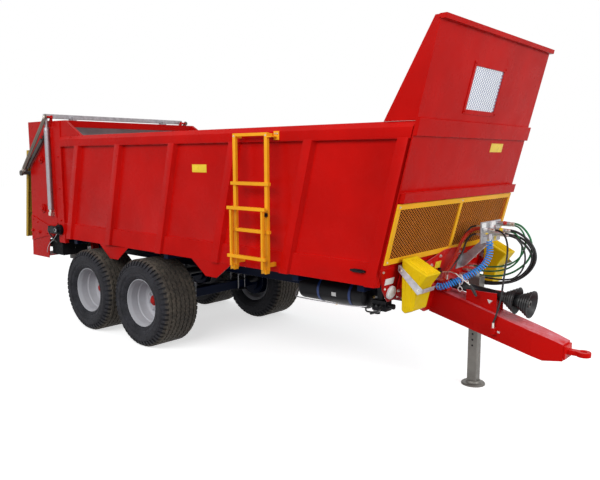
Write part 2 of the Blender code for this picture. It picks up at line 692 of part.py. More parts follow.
def side_wall(side):
    top = RAIL_Z[1]
    sheet_low = FLOOR_Z + SEAT

    def sheet(z_low, z_high, y_low, y_high, rear=BODY_REAR_X):
        corners = [(rear, z_low), (front_x(z_low) - 0.02, z_low), (front_x(z_high) - 0.02, z_high), (rear, z_high)]
        return plate(corners, "y", *span(side, y_low, y_high))

    pieces = [
        sheet(sheet_low, RAIL_Z[0] + 0.02, WALL_Y - WALL_T, WALL_Y),
        sheet(BODY_Z, CREASE_Z, SKIRT_Y - SKIRT_T, SKIRT_Y),
        sheet(CREASE_Z - 0.012, CREASE_Z, WALL_Y - 0.006, SKIRT_Y),
    ]
    rail = [(WALL_Y - 0.03, RAIL_Z[0]), (RAIL_Y - 0.006, RAIL_Z[0]), (RAIL_Y, RAIL_Z[0] + 0.02),
            (RAIL_Y, top - 0.05), (RAIL_Y - 0.035, top), (WALL_Y - 0.03, top)]
    rail_long = plate([(side * y, z) for y, z in rail], "x", BODY_REAR_X - 0.4, FRONT_X - 0.02)
    pieces.append(leaned(rail_long, top))
    trim = block((BODY_REAR_X - 1, BODY_REAR_X), span(side, 1.0, 1.3), (2.3, 2.8))
    for x in RIBS_X:
        start = x if x > BODY_REAR_X else BODY_REAR_X
        foot = [(start, RIB_BACK_Y), (start + RIB_CHAMFER * 0.5, RIB_Y), (x + RIB_WIDTH - RIB_CHAMFER, RIB_Y),
                (x + RIB_WIDTH, RIB_BACK_Y)]
        rib = plate([(px, side * py) for px, py in foot], "z", BODY_Z, RAIL_Z[0] + 0.01)
        pieces.append(leaned(rib, BODY_Z))
    for x in GUSSETS_X:
        shape = [(x - GUSSET_TOP, BODY_Z + 0.03), (x - GUSSET_TOP, BODY_Z), (x - GUSSET_FOOT, BODY_Z - GUSSET_DROP),
                 (x + GUSSET_FOOT, BODY_Z - GUSSET_DROP), (x + GUSSET_TOP, BODY_Z), (x + GUSSET_TOP, BODY_Z + 0.03)]
        pieces.append(plate(shape, "y", *span(side, SKIRT_Y - 0.010, SKIRT_Y - 0.002)))
    fuse(f"side_wall_{side_name(side)}", pieces, "red_paint", cuts=[trim])


def front_wall():
    """The front sheet round the grille's opening, its ledge and top rail, and the corner plates."""
    def leaning(x, y, z):
        return leaned(block(x, y, z), RAIL_Z[1])

    back, face = FRONT_X - FRONT_T, FRONT_X
    half = RAIL_Y
    opening_low, opening_high = GRILLE_Z[0] + GRILLE_BAR * 0.6, GRILLE_Z[1] - GRILLE_BAR * 0.6
    low = 1.36
    sheet = plate(
        [(-half, low), (half, low), (half, HEADBOARD_Z[0]), (-half, HEADBOARD_Z[0])], "x", back, face,
        holes=[[(-1.08, opening_low), (1.08, opening_low), (1.08, opening_high), (-1.08, opening_high)]],
    )
    pieces = [leaned(sheet, RAIL_Z[1])]
    pieces.append(leaning((back, face + LEDGE_DEPTH), (-half + 0.02, half - 0.02), LEDGE_Z))
    pieces.append(leaning((back, face + 0.03), (-half, half), (2.51, HEADBOARD_Z[0])))
    for side in (-1, 1):
        corner = [(side * y, z) for y, z in (
            (1.185, 1.37), (1.067, 1.166), (0.941, 1.04), (0.82, 1.043), (0.713, 1.013), (0.733, 1.119), (0.733, 1.37))]
        pieces.append(leaned(plate(corner, "x", FRONT_X - FRONT_T, FRONT_X + 0.006), RAIL_Z[1]))
    fuse("front_wall", pieces, "red_paint")


def grille():
    face = FRONT_X + SEAT
    low, high = GRILLE_Z
    half = GRILLE_HALF

    def rectangle(y0, y1, z0, z1):
        return [(y0, z0), (y1, z0), (y1, z1), (y0, z1)]

    bar_w = GRILLE_BAR
    tuck = 0.002  # the lattice runs this far under the frame
    panes, holes = [], []
    for y0, y1 in ((-half + bar_w, -bar_w / 2), (bar_w / 2, half - bar_w)):
        panes.append(rectangle(y0, y1, low + bar_w, high - bar_w))
        holes += lattice((y0 - tuck, y1 + tuck), (low + bar_w - tuck, high - bar_w + tuck), GRILLE_CELLS, STRAND)
    frame = plate(rectangle(-half, half, low, high), "x", face, face + GRILLE_T, holes=panes)
    inset = GRILLE_BAR / 3
    mesh = plate(rectangle(-half + inset, half - inset, low + inset, high - inset), "x",
                 face + 0.004, face + 0.004 + MESH_T, holes=holes)
    fuse("grille", [leaned(frame, RAIL_Z[1]), leaned(mesh, RAIL_Z[1])], "yellow_paint")


def headboard():
    low, high = HEADBOARD_Z[0] + SEAT, HEADBOARD_Z[1]
    half = RAIL_Y
    window = [(WINDOW_Y[0], WINDOW_Z[0]), (WINDOW_Y[1], WINDOW_Z[0]), (WINDOW_Y[1], WINDOW_Z[1]),
              (WINDOW_Y[0], WINDOW_Z[1])]
    sheet = plate([(-half, low), (half, low), (half, high), (-half, high)], "x", FRONT_X - FRONT_T, FRONT_X,
                  holes=[window])
    pieces = [leaned(sheet, RAIL_Z[1])]
    flange = block((FRONT_X - 0.02, FRONT_X + HEADBOARD_FLANGE), (-half, half), (high - 0.012, high + 0.03))
    pieces.append(leaned(flange, RAIL_Z[1]))
    for side in (-1, 1):
        foot = RAIL_Z[1] + SEAT
        behind = FRONT_T + SEAT
        triangle = [(GUSSET_REAR_X, foot), (front_x(foot) - behind, foot), (front_x(low) - behind, low),
                    (front_x(low) - behind / 2, low), (front_x(high) - behind / 2, high + 0.03),
                    (front_x(high) - 0.06, high + 0.03)]
        pieces.append(plate(triangle, "y", *span(side, half - 0.030, half - 0.018)))
    edge = WINDOW_FRAME
    frame = [(WINDOW_Y[0] - edge, WINDOW_Z[0] - edge), (WINDOW_Y[1] + edge, WINDOW_Z[0] - edge),
             (WINDOW_Y[1] + edge, WINDOW_Z[1] + edge), (WINDOW_Y[0] - edge, WINDOW_Z[1] + edge)]
    tuck = 0.002
    holes = lattice((WINDOW_Y[0] - tuck, WINDOW_Y[1] + tuck), (WINDOW_Z[0] - tuck, WINDOW_Z[1] + tuck),
                    WINDOW_CELLS, STRAND)
    pieces.append(leaned(plate(frame, "x", FRONT_X - 0.004, FRONT_X + MESH_T, holes=holes), RAIL_Z[1]))
    fuse("headboard", pieces, "red_paint")


# Rear portal and door

def portal():
    low_x, high_x = PORTAL_X
    pieces = []
    for side in (-1, 1):
        y = span(side, *PORTAL_Y)
        pieces.append(block((low_x, high_x), y, (CHASSIS_Z[1] - CROSS_DEPTH, PORTAL_TOP)))
        gable = [(low_x, RAIL_Z[1] + SEAT), (-0.74, RAIL_Z[1] + SEAT), (-1.13, PORTAL_TOP), (low_x, PORTAL_TOP)]
        pieces.append(plate(gable, "y", *span(side, 1.092, 1.132)))
        guide_back = DOOR_X - DOOR_T / 2 - MOVE_CLEAR
        tall = (1.40, PORTAL_TOP)
        pieces.append(block((guide_back - 0.008, low_x + 0.01), span(side, DOOR_HALF + 0.007, PORTAL_Y[1]), tall))
        pieces.append(block((guide_back - 0.008, guide_back), span(side, 1.10, PORTAL_Y[1]), tall))
    pieces.append(block((-1.21, -1.13), (-1.12, 1.12), (2.76, PORTAL_TOP)))
    bearings = [
        bar((REAR_SHAFT_X, side * 1.0, SHAFT_Z), (REAR_SHAFT_X, side * 1.2, SHAFT_Z), 0.03 + PIN_CLEAR, sides=12)
        for side in (-1, 1)
    ]
    fuse("rear_portal", pieces, "red_paint", cuts=bearings)


def door():
    half_t = DOOR_T / 2
    low, high = DOOR_Z
    panel = [block((DOOR_X - half_t, DOOR_X + half_t), (-DOOR_HALF, DOOR_HALF), (low, high))]
    for z in (1.75, 2.15, 2.55):
        panel.append(block((DOOR_X - half_t - 0.03, DOOR_X), (-1.04, 1.04), (z - 0.03, z + 0.03)))
    fuse("slurry_door", panel, "grey_steel")
    half = CROSSBAR_SIZE / 2
    bar_parts = [block((CROSSBAR_X - half, CROSSBAR_X + half), (-CROSSBAR_HALF, CROSSBAR_HALF),
                       (CROSSBAR_Z - half, CROSSBAR_Z + half))]
    for y in (-0.8, 0.8):
        bracket = (CROSSBAR_X - 0.02, DOOR_X - half_t - SEAT)
        bar_parts.append(block(bracket, (y - 0.03, y + 0.03), (2.64, CROSSBAR_Z)))
    foot, head = DOOR_BARREL_Z
    for side in (-1, 1):
        y = side * DOOR_CYLINDER_Y
        bar_parts.append(bar((CROSSBAR_X, y, foot + 0.03), (CROSSBAR_X, y, CROSSBAR_Z), DOOR_ROD_RADIUS, sides=12))
    fuse("door_crossbar", bar_parts, "grey_steel")
    for side in (-1, 1):
        y = side * DOOR_CYLINDER_Y
        barrel = [
            bar((CROSSBAR_X, y, foot), (CROSSBAR_X, y, head), DOOR_BARREL_RADIUS, sides=16),
            bar((CROSSBAR_X, y, foot - 0.05), (CROSSBAR_X, y, foot + 0.02), 0.02, sides=12),
            block((CROSSBAR_X - 0.03, CROSSBAR_X + 0.03), span(side, PORTAL_Y[1] + SEAT, DOOR_CYLINDER_Y + 0.02),
                  (foot - 0.09, foot - 0.04)),
        ]
        bore = bar((CROSSBAR_X, y, foot + 0.02), (CROSSBAR_X, y, head + 0.01), DOOR_ROD_RADIUS + PIN_CLEAR, sides=12)
        fuse(f"door_barrel_{side_name(side)}", barrel, "galvanised", cuts=[bore])


# Spreading unit

def unit_frame():
    """Side plates, deck and top beam, with the bearing plates and bosses outside."""
    low, high = UNIT_Z
    outside = UNIT_Y[1]
    pieces, holes = [], []
    for side in (-1, 1):
        outline = [(UNIT_X[0], high), (UNIT_X[0], 2.1), (UNIT_FOOT_X[0], low), (UNIT_FOOT_X[1], low), (-1.70, 1.16),
                   (UNIT_X[1], 1.25), (UNIT_X[1], high)]
        pieces.append(plate(outline, "y", *span(side, *UNIT_Y)))
        ear = link_outline(COVER_P, (COVER_P[0] - 0.065, COVER_P[1] - 0.115), 0.025)
        pieces.append(plate(ear, "y", *span(side, UNIT_Y[0] + 0.003, outside + 0.01)))
        for place, reach in ((COVER_P, 1.258), (COVER_Q, 1.215)):
            pin = ((place[0], side * 1.14, place[1]), (place[0], side * reach, place[1]))
            pieces.append(bar(*pin, COVER_PIN_RADIUS, sides=12))
        slant = [(-2.20, 1.48), (-1.72, 1.36), (-1.55, 1.36), (-1.55, 1.22), (-1.74, 1.20), (-2.22, 1.10)]
        pieces.append(plate(slant, "y", *span(side, outside - 0.004, outside + 0.012)))
        for x, z in ((-2.18, 1.25), (-1.98, 1.236)):
            pieces.append(bar((x, side * 1.14, z), (x, side * (outside + 0.03), z), 0.022, sides=8))
        for z in BEATERS_Z:
            pieces.append(bar((BEATER_X, side * 1.14, z), (BEATER_X, side * (outside + 0.02), z), 0.065, sides=12))
            holes.append(bar((BEATER_X, side * 1.1, z), (BEATER_X, side * 1.2, z), 0.03 + PIN_CLEAR, sides=12))
        holes.append(bar((DISC_X, side * DISC_Y, 0.8), (DISC_X, side * DISC_Y, 0.95), 0.06, sides=12))
    pieces += [
        block((DISC_X - 0.10, UNIT_FOOT_X[1]), (-1.14, 1.14), DECK_Z),
        block((UNIT_FOOT_X[1] - 0.01, UNIT_X[1]), (-DECK_NECK_Y, DECK_NECK_Y), DECK_Z),
        block((CROSSBAR_X - 0.13, CROSSBAR_X - 0.05), (-1.14, 1.14), (2.79, high)),
        block((UNIT_X[1] - 0.05, UNIT_X[1]), (-DECK_NECK_Y, DECK_NECK_Y), (DECK_Z[0], 1.15)),
    ]
    holes.append(bar((UNIT_X[1] - 0.1, 0, DRIVELINE_Z), (UNIT_X[1] + 0.05, 0, DRIVELINE_Z), 0.045, sides=12))
    fuse("unit_frame", pieces, "red_paint", cuts=holes)


def gearboxes():
    top = DECK_Z[0] - SEAT
    pieces = [block((DISC_X - 0.05, DISC_X + 0.05), (-DISC_Y, DISC_Y), (0.80, 0.87))]
    for side in (-1, 1):
        y = side * DISC_Y
        pieces.append(bar((DISC_X, y, 0.77), (DISC_X, y, top), 0.13, sides=16))
        pieces.append(bar((DISC_X, y, 0.85), (DISC_X, y, DISC_Z[0] - 0.0005), 0.035, sides=12))
    pieces.append(block((DISC_X, DISC_X + 0.36), (-0.05, 0.05), (0.80, 0.87)))
    pieces.append(block((-1.68, -1.56), (-0.09, 0.09), (0.80, top)))
    fuse("disc_gearbox", pieces, "dark_steel")


def beater(name, z, hand):
    """A tube with two flights that push to the middle, and tines along the flights' edges."""
    reach = UNIT_Y[1]
    tube_piece = bar((BEATER_X, -BEATER_HALF, z), (BEATER_X, BEATER_HALF, z), BEATER_TUBE, sides=12)
    shaft = bar((BEATER_X, -reach, z), (BEATER_X, reach, z), 0.03, sides=12)
    pieces = [tube_piece, shaft]
    length = BEATER_HALF - 0.04
    for side in (-1, 1):
        turns = FLIGHT_TURNS * side * hand
        flight = turned([(BEATER_TUBE - 0.01, 0), (FLIGHT_RADIUS, 0)], FLIGHT_STEPS * FLIGHT_TURNS,
                        angle=math.tau * turns, rise=length)
        thick = flight.modifiers.new("thick", "SOLIDIFY")
        thick.thickness = 0.010
        thick.offset = 0
        axis = Matrix.Rotation(-side * math.pi / 2, 4, "X")
        pieces.append(moved(baked(flight), Matrix.Translation((BEATER_X, side * 0.02, z)) @ axis))
        for i in range(TINES_A_TURN * FLIGHT_TURNS):
            share = (i + 0.5) / (TINES_A_TURN * FLIGHT_TURNS)
            angle = math.tau * turns * share
            tine = block((FLIGHT_RADIUS - 0.03, TINE_RADIUS), (-0.025, 0.025), (-0.004, 0.012))
            place = Matrix.Rotation(angle, 4, "Z")
            lift = Matrix.Translation((0, 0, length * share))
            pieces.append(moved(tine, Matrix.Translation((BEATER_X, side * 0.02, z)) @ axis @ lift @ place))
    fuse(name, pieces, "dark_steel", pivot=(BEATER_X, 0, z))


def discs():
    for side in (-1, 1):
        y = side * DISC_Y
        pieces = [
            bar((DISC_X, y, DISC_Z[0]), (DISC_X, y, DISC_Z[1]), DISC_RADIUS, sides=28),
            bar((DISC_X, y, DISC_Z[1] - 0.004), (DISC_X, y, DISC_Z[1] + 0.05), 0.11, 0.05, sides=16),
        ]
        for i in range(4):
            vane = block((0.09, DISC_RADIUS - 0.01), (-0.005, 0.005), (DISC_Z[1] - 0.004, VANE_TOP))
            turn = Matrix.Rotation(math.radians(20 + 90 * i) * side, 4, "Z")
            pieces.append(moved(vane, Matrix.Translation((DISC_X, y, 0)) @ turn))
        fuse(f"disc_{side_name(side)}", pieces, "grey_steel", pivot=(DISC_X, y, DISC_Z[0]))


def rear_cover():
    top, bottom = COVER_TOP, COVER_BOTTOM
    panel = [top, bottom, (bottom[0] - 0.008, bottom[1]), (top[0] - 0.008, top[1])]
    pieces = [plate(panel, "y", -COVER_HALF, COVER_HALF)]
    holes = []
    low, high = COVER_ARM_Y
    for side in (-1, 1):
        flange = [(top[0] - 0.004, top[1]), (bottom[0] - 0.004, bottom[1]), (bottom[0] + 0.05, bottom[1]),
                  (top[0] + 0.05, top[1])]
        pieces.append(plate(flange, "y", *span(side, COVER_HALF - 0.008, COVER_HALF)))
        pieces.append(plate(link_outline(COVER_P, COVER_K, COVER_ARM_HALF), "y", *span(side, low, high)))
        pin = ((COVER_J[0], side * 1.215, COVER_J[1]), (COVER_J[0], side * 1.24, COVER_J[1]))
        pieces.append(bar(*pin, 0.016, sides=12))
        bore = ((COVER_P[0], side * 1.22, COVER_P[1]), (COVER_P[0], side * 1.26, COVER_P[1]))
        holes.append(bar(*bore, COVER_PIN_RADIUS + PIN_CLEAR, sides=12))
    pieces.append(bar((COVER_K[0], -1.24, COVER_K[1]), (COVER_K[0], 1.24, COVER_K[1]), 0.028, sides=12))
    fuse("rear_cover", pieces, "yellow_paint", cuts=holes, pivot=(COVER_P[0], 0, COVER_P[1]))


def cover_cylinders():
    foot, head = Vector((COVER_Q[0], 0, COVER_Q[1])), Vector((COVER_J[0], 0, COVER_J[1]))
    length = (head - foot).length
    along = (head - foot).normalized()
    for side in (-1, 1):
        across = Vector((0, side * COVER_CYLINDER_Y, 0))

        def rod_at(start, end, radius):
            return bar(foot + across + along * start, foot + across + along * end, radius, sides=14)

        eye = link_outline(COVER_Q, (COVER_Q[0] + along.x * 0.05, COVER_Q[1] + along.z * 0.05), 0.028)
        barrel = [
            rod_at(0.03, COVER_MOUTH, COVER_BARREL_RADIUS),
            plate(eye, "y", *span(side, COVER_CYLINDER_Y - 0.012, COVER_CYLINDER_Y + 0.012)),
        ]
        bore = ((COVER_Q[0], side * 1.14, COVER_Q[1]), (COVER_Q[0], side * 1.25, COVER_Q[1]))
        holes = [
            rod_at(0.15, COVER_MOUTH + 0.05, COVER_ROD_RADIUS + PIN_CLEAR),
            bar(*bore, COVER_PIN_RADIUS + PIN_CLEAR, sides=12),
        ]
        fuse(f"cover_barrel_{side_name(side)}", barrel, "galvanised", cuts=holes, pivot=tuple(foot + across))
        eye_ends = [(head.x, side * (COVER_CYLINDER_Y + edge), head.z) for edge in (-0.014, 0.014)]
        rod = [rod_at(0.17, length - 0.01, COVER_ROD_RADIUS), bar(*eye_ends, 0.03, sides=14)]
        fuse(f"cover_rod_{side_name(side)}", rod, "chrome", pivot=tuple(head + across))


# Ladder

def ladder():
    y = -LADDER_Y
    pieces = []
    for x in LADDER_X:
        pieces.append(block((x - 0.02, x + 0.02), (y - 0.015, y + 0.015), (LADDER_FOOT, LADDER_TOP)))
        pieces.append(block((x - 0.015, x + 0.015), (y, -RAIL_Y - SEAT), (LADDER_TOP - 0.047, LADDER_TOP - 0.007)))
        pieces.append(block((x - 0.015, x + 0.015), (y, -SKIRT_Y - SEAT), (1.26, 1.30)))
        for edge in (-1, 1):
            pieces.append(block(sorted((x + edge * 0.018, x + edge * 0.028)), (-FOLD_PIN[0] - 0.014, y), (1.20, 1.24)))
        pieces.append(bar((x - 0.026, -FOLD_PIN[0], FOLD_PIN[1]), (x + 0.026, -FOLD_PIN[0], FOLD_PIN[1]), 0.008, sides=12))
    low, high = LADDER_X
    pieces.append(block((low - 0.02, high + 0.02), (y - 0.015, y + 0.015), (LADDER_TOP - 0.03, LADDER_TOP)))
    for z in LADDER_RUNGS:
        pieces.append(block((low - 0.045, high + 0.045), (y - 0.03, y + 0.005), (z - 0.016, z + 0.016)))
    fuse("ladder_upper", pieces, "yellow_paint")

    y = -FOLD_Y
    pieces, holes = [], []
    for x in LADDER_X:
        pieces.append(block((x - 0.0125, x + 0.0125), (y - 0.015, y + 0.015), FOLD_Z))
        lug = link_outline((-FOLD_PIN[0], FOLD_PIN[1]), (y, FOLD_Z[0] + 0.03), 0.0145)
        pieces.append(plate(lug, "x", x - 0.0125, x + 0.0125))
        holes.append(bar((x - 0.02, -FOLD_PIN[0], FOLD_PIN[1]), (x + 0.02, -FOLD_PIN[0], FOLD_PIN[1]), 0.009, sides=12))
    for z in FOLD_RUNGS:
        pieces.append(block((low - 0.045, high + 0.045), (y - 0.022, y + 0.005), (z - 0.016, z + 0.016)))
    fuse("ladder_lower", pieces, "yellow_paint", cuts=holes, pivot=(sum(LADDER_X) / 2, -FOLD_PIN[0], FOLD_PIN[1]))


# Drawbar and front gear

def pto_bar(start, end, radius, end_radius=None, sides=12):
    """A round piece along the drive shaft in front, from start to end metres in front of its rear end."""
    rear, along = Vector(PTO_REAR), (Vector(PTO_FRONT) - Vector(PTO_REAR)).normalized()
    return bar(rear + along * start, rear + along * end, radius, end_radius, sides)


def headstock_face(y, z, low=0.0, high=0.0):
    """A leaning block on the headstock plate's front, between two heights above that face."""
    face = FRONT_X + HEADSTOCK_OUT + HEADSTOCK_T
    return leaned(block((face + low, face + high), y, z), RAIL_Z[1])


def drawbar():
    side_view = [(headstock_x(1.047) + 0.005, 1.047), (5.20, 0.733), (BEAM_END_X, 0.695), (BEAM_END_X, 0.545),
                 (5.15, 0.52), (headstock_x(0.80) + 0.005, 0.80)]
    head = [(-0.88, 1.10), (-0.24, 0.815), (0.24, 0.815), (0.88, 1.10), (0.88, 1.34), (0.5, 1.34),
            (0.12, 1.44), (-0.12, 1.44), (-0.5, 1.34), (-0.88, 1.34)]
    cheek = [(4.38, 0.95), (4.69, 0.86), (4.69, 1.065), (4.38, 1.065)]
    pieces = [
        plate(side_view, "y", -BEAM_HALF, BEAM_HALF),
        leaned(plate(head, "x", FRONT_X + HEADSTOCK_OUT, FRONT_X + HEADSTOCK_OUT + HEADSTOCK_T), RAIL_Z[1]),
        block((JACK_X - 0.05, JACK_X + 0.05), (BEAM_HALF - 0.01, JACK_Y - 0.06 - SEAT), (0.80, 0.95)),
        block(PEDESTAL_X, (-CHEEK_Y[1] + 0.004, CHEEK_Y[1] - 0.004), (0.86, 1.035)),
        block(MANIFOLD_X, MANIFOLD_Y, MANIFOLD_Z),
        block((DROP_X - 0.02, DROP_X + 0.02), (DROP_Y - 0.02, -BEAM_HALF + 0.01), DROP_SOCKET_Z),
    ]
    taper = []
    for side in (-1, 1):
        pieces.append(plate(cheek, "y", *span(side, *CHEEK_Y)))
        pieces += chock_holder(side)
        wedge = [(5.04, side * (BEAM_HALF + 0.001)), (5.40, side * 0.09), (5.40, side * 0.2), (5.04, side * 0.2)]
        taper.append(plate(wedge, "z", 0.4, 0.9))
    for x, y in FRONT_SOCKETS:
        pieces.append(bar((x, y, MANIFOLD_Z[1] - 0.01), (x, y, SOCKET_Z), 0.014, sides=8))
    for y, z in FAR_SOCKETS:
        pieces.append(bar((headstock_x(z) + HEADSTOCK_T / 2, y, z), (FAR_SOCKET_X, y, z), 0.016, sides=8))
    x, y, z = COIL_SOCKET
    pieces.append(bar((headstock_x(z) + HEADSTOCK_T / 2, y, z), (x, y, z), 0.024, sides=8))
    fuse("drawbar", pieces, "red_paint", cuts=[*taper, pto_bar(-0.05, 0.95, PTO_TUBE + SEAT)])
    eye = [
        bar((EYE_X, 0, EYE_Z - 0.022), (EYE_X, 0, EYE_Z + 0.022), EYE_RADIUS, sides=24),
        block((BEAM_END_X + SEAT, EYE_X - 0.03), (-0.035, 0.035), (EYE_Z - 0.022, EYE_Z + 0.022)),
        block((BEAM_END_X + SEAT, BEAM_END_X + 0.02), (-0.09, 0.09), (EYE_Z - 0.06, EYE_Z + 0.06)),
    ]
    hole = bar((EYE_X, 0, EYE_Z - 0.05), (EYE_X, 0, EYE_Z + 0.05), EYE_HOLE, sides=24)
    fuse("towing_eye", eye, "red_paint", cuts=[hole])


def pto_shaft():
    """The guarded drive shaft to the tractor: a tube with two flared guards, in its saddle."""
    pieces = [
        pto_bar(-0.05, 0.90, PTO_TUBE),
        pto_bar(0.635, 0.775, PTO_TUBE + 0.005, PTO_CONE, sides=14),
        pto_bar(0.80, 0.915, 0.075, PTO_CONE, sides=14),
    ]
    behind = headstock_face((-0.3, 0.3), (0.8, 1.4), -0.30, SEAT)
    fuse("pto_shaft", pieces, "black_paint", cuts=[behind])


def hose_rack():
    """A plate on a bent post, with the couplings that the hoses hang from."""
    post = [(4.128, 1.22), (4.17, 1.22), (RACK_X[1], 1.50), (RACK_X[1], 1.58), (RACK_X[0], 1.58), (4.152, 1.33)]
    pieces = [
        block(RACK_X, RACK_Y, RACK_Z),
        plate(post, "y", 0.27, 0.30),
        headstock_face((0.20, 0.37), (1.20, 1.35), SEAT, 0.014),
    ]
    for y, z, rear, front, radius in COUPLINGS:
        pieces.append(bar((rear, y, z), (front, y, z), radius, sides=8))
    x, y, z = COIL_TOP
    pieces.append(bar((x, y, z), (x, y, z + 0.055), 0.024, sides=8))
    pieces.append(bar((RACK_X[0] + 0.006, y, z + 0.035), (x, y, z + 0.035), 0.012, sides=8))
    fuse("hose_rack", pieces, "galvanised")


def hoses():
    for name, (paint, diameter, points) in HOSES.items():
        run = smooth_run(points, min(2.8 * diameter, HOSE_STEP))
        fuse(name, [tube(run, diameter / 2)], paint)


def brake_valve():
    """The air brake valve under the front cross member, with its two pots."""
    x, y, top = STATIONS_X[-1], -0.75, CHASSIS_Z[1] - CROSS_DEPTH - SEAT
    fuse("brake_valve", [
        block((x - 0.03, x + 0.03), (y - 0.02, y + 0.02), (0.98, top)),
        block((x - 0.07, x + 0.09), (y - 0.05, y + 0.05), (0.90, 1.0)),
        bar((x - 0.04, y, 0.91), (x - 0.04, y, 0.855), 0.03, sides=10),
        bar((x + 0.08, y, 0.95), (x + 0.15, y, 0.95), 0.027, sides=10),
    ], "black_paint")


def jack():
    half = JACK_SIZE / 2
    sleeve = half + 0.01
    low, high = JACK_SLEEVE_Z
    fuse("jack", [
        block((JACK_X - sleeve, JACK_X + sleeve), (JACK_Y - sleeve, JACK_Y + sleeve), (low, high)),
        bar((JACK_X, JACK_Y, high - 0.02), (JACK_X, JACK_Y, high + 0.05), 0.03, sides=12),
        block((JACK_X - half, JACK_X + half), (JACK_Y - half, JACK_Y + half), (0.01, low + 0.1)),
        bar((JACK_X, JACK_Y, 0), (JACK_X, JACK_Y, 0.02), 0.12, sides=16),
    ], "dark_steel")


def chock_holder(side):
    """The plate behind a chock, on an arm from the headstock."""
    back = CHOCK_BACK_X
    return [
        block((back - 0.012, back - SEAT), span(side, 0.72, 0.90), (1.10, 1.30)),
        block((headstock_x(1.2) + HEADSTOCK_T / 2, back - 0.006), span(side, 0.76, 0.84), (1.16, 1.24)),
    ]


def chocks():
    """A wheel chock on each front corner, hung with its hollow face down and forward."""
    back = CHOCK_BACK_X
    wedge = [(back, 1.455), (4.442, 1.324), (4.352, 1.204), (4.299, 0.991), (4.218, 0.96), (back, 0.985)]
    for side in (-1, 1):
        fuse(f"chock_{side_name(side)}", [plate(wedge, "y", *span(side, *CHOCK_Y))], "chock_yellow")


def air_tank():
    y, z = TANK_Y, TANK_Z
    half, r = TANK_LENGTH / 2, TANK_RADIUS
    under = CHASSIS_Z[1] - CROSS_DEPTH - SEAT
    dome = 0.045
    profile = [(0, half), (r * 0.6, half - 0.01), (r * 0.93, half - dome * 0.6), (r, half - dome),
               (r, -half + dome), (r * 0.93, -half + dome * 0.6), (r * 0.6, -half + 0.01), (0, -half)]
    shell = baked(turned(profile, 20))
    turn = Matrix.Rotation(math.pi / 2, 4, "Y")
    pieces = [moved(shell, Matrix.Translation((TANK_X, y, z)) @ turn)]
    for x in TANK_HANGERS_X:
        pieces.append(block((x - 0.02, x + 0.02), (y - 0.03, y + 0.03), (z + r - 0.03, under)))
    fuse("air_tank", pieces, "black_paint")


def driveline():
    y, z = 0.0, DRIVELINE_Z
    pieces = [
        bar((-1.62, y, z), (headstock_x(z - 0.035) - SEAT, y, z), 0.035, sides=12),
        block((-1.68, UNIT_X[1] - 0.05 - SEAT), (-0.09, 0.09), (DECK_Z[1] + SEAT, 1.10)),
    ]
    for x in STATIONS_X[1:-1]:
        pieces.append(block((x - 0.03, x + 0.03), (-0.06, 0.06), (0.96, CHASSIS_Z[1] - CROSS_DEPTH - SEAT)))
    fuse("driveline", pieces, "dark_steel")


def lamps():
    for side in (-1, 1):
        x = FRONT_X + 0.006 + SEAT
        y, z = side * LAMP_Y, LAMP_Z
        lamp = leaned(bar((x, y, z), (x + 0.03, y, z), 0.06, 0.048, sides=20), RAIL_Z[1])
        fuse(f"front_lamp_{side_name(side)}", [lamp], "lamp_white")


def floor_drive():
    """Gearbox and hydraulic motor on the end of the drive shaft."""
    x, z = REAR_SHAFT_X, SHAFT_Z
    outer = PORTAL_Y[1] + SEAT
    fuse("floor_drive", [
        bar((x, -outer, z), (x, -outer - 0.05, z), 0.075, sides=20),
        bar((x, -outer - 0.04, z), (x, -outer - 0.09, z), 0.05, sides=16),
        block((x - 0.24, x - 0.03), (-outer - 0.075, -outer - 0.013), (z - 0.055, z + 0.045)),
    ], "black_paint")


wheels()
axles()
suspension()
chassis()
floor_panel()
apron()
for wall_side in (-1, 1):
    side_wall(wall_side)
front_wall()
grille()
headboard()
portal()
door()
unit_frame()
gearboxes()
for beater_name, beater_z, beater_hand in (("beater_lower", BEATERS_Z[0], 1), ("beater_upper", BEATERS_Z[1], -1)):
    beater(beater_name, beater_z, beater_hand)
discs()
rear_cover()
cover_cylinders()
ladder()
drawbar()
pto_shaft()
hose_rack()
hoses()
brake_valve()
jack()
chocks()
air_tank()
driveline()
lamps()
floor_drive()
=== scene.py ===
"""The manure spreader's looks: finer meshes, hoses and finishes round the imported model.

Places are in metres from the middle of the tandem, on the ground, as in the model's source: x runs
forward, y to the machine's left, z up. at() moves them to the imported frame. The right side, with
the ladder, is at negative y and faces the camera."""

import json
import math

import bmesh
import bpy
from mathutils import Matrix, Vector

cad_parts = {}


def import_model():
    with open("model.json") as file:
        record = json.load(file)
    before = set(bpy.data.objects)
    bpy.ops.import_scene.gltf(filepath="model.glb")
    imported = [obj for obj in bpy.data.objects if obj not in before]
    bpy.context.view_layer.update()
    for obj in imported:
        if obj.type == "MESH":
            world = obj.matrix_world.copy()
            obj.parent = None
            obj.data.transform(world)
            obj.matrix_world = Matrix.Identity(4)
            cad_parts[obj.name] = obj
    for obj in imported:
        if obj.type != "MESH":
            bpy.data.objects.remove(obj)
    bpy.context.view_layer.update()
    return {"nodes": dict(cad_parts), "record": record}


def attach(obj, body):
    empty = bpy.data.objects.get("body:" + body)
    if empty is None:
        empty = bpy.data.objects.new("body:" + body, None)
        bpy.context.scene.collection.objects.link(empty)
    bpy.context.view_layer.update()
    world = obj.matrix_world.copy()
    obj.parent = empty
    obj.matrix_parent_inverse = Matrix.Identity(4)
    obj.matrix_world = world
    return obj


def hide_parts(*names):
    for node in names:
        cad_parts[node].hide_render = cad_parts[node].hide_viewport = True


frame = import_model()

MID_X = 1.515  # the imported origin's x from the middle of the tandem
LEAN = 0.249  # how far ribs, front and headboard lean forward, for each metre of height
FRONT_X, FRONT_TOP = 4.431, 2.635  # the front plane's x at the top of the side rail

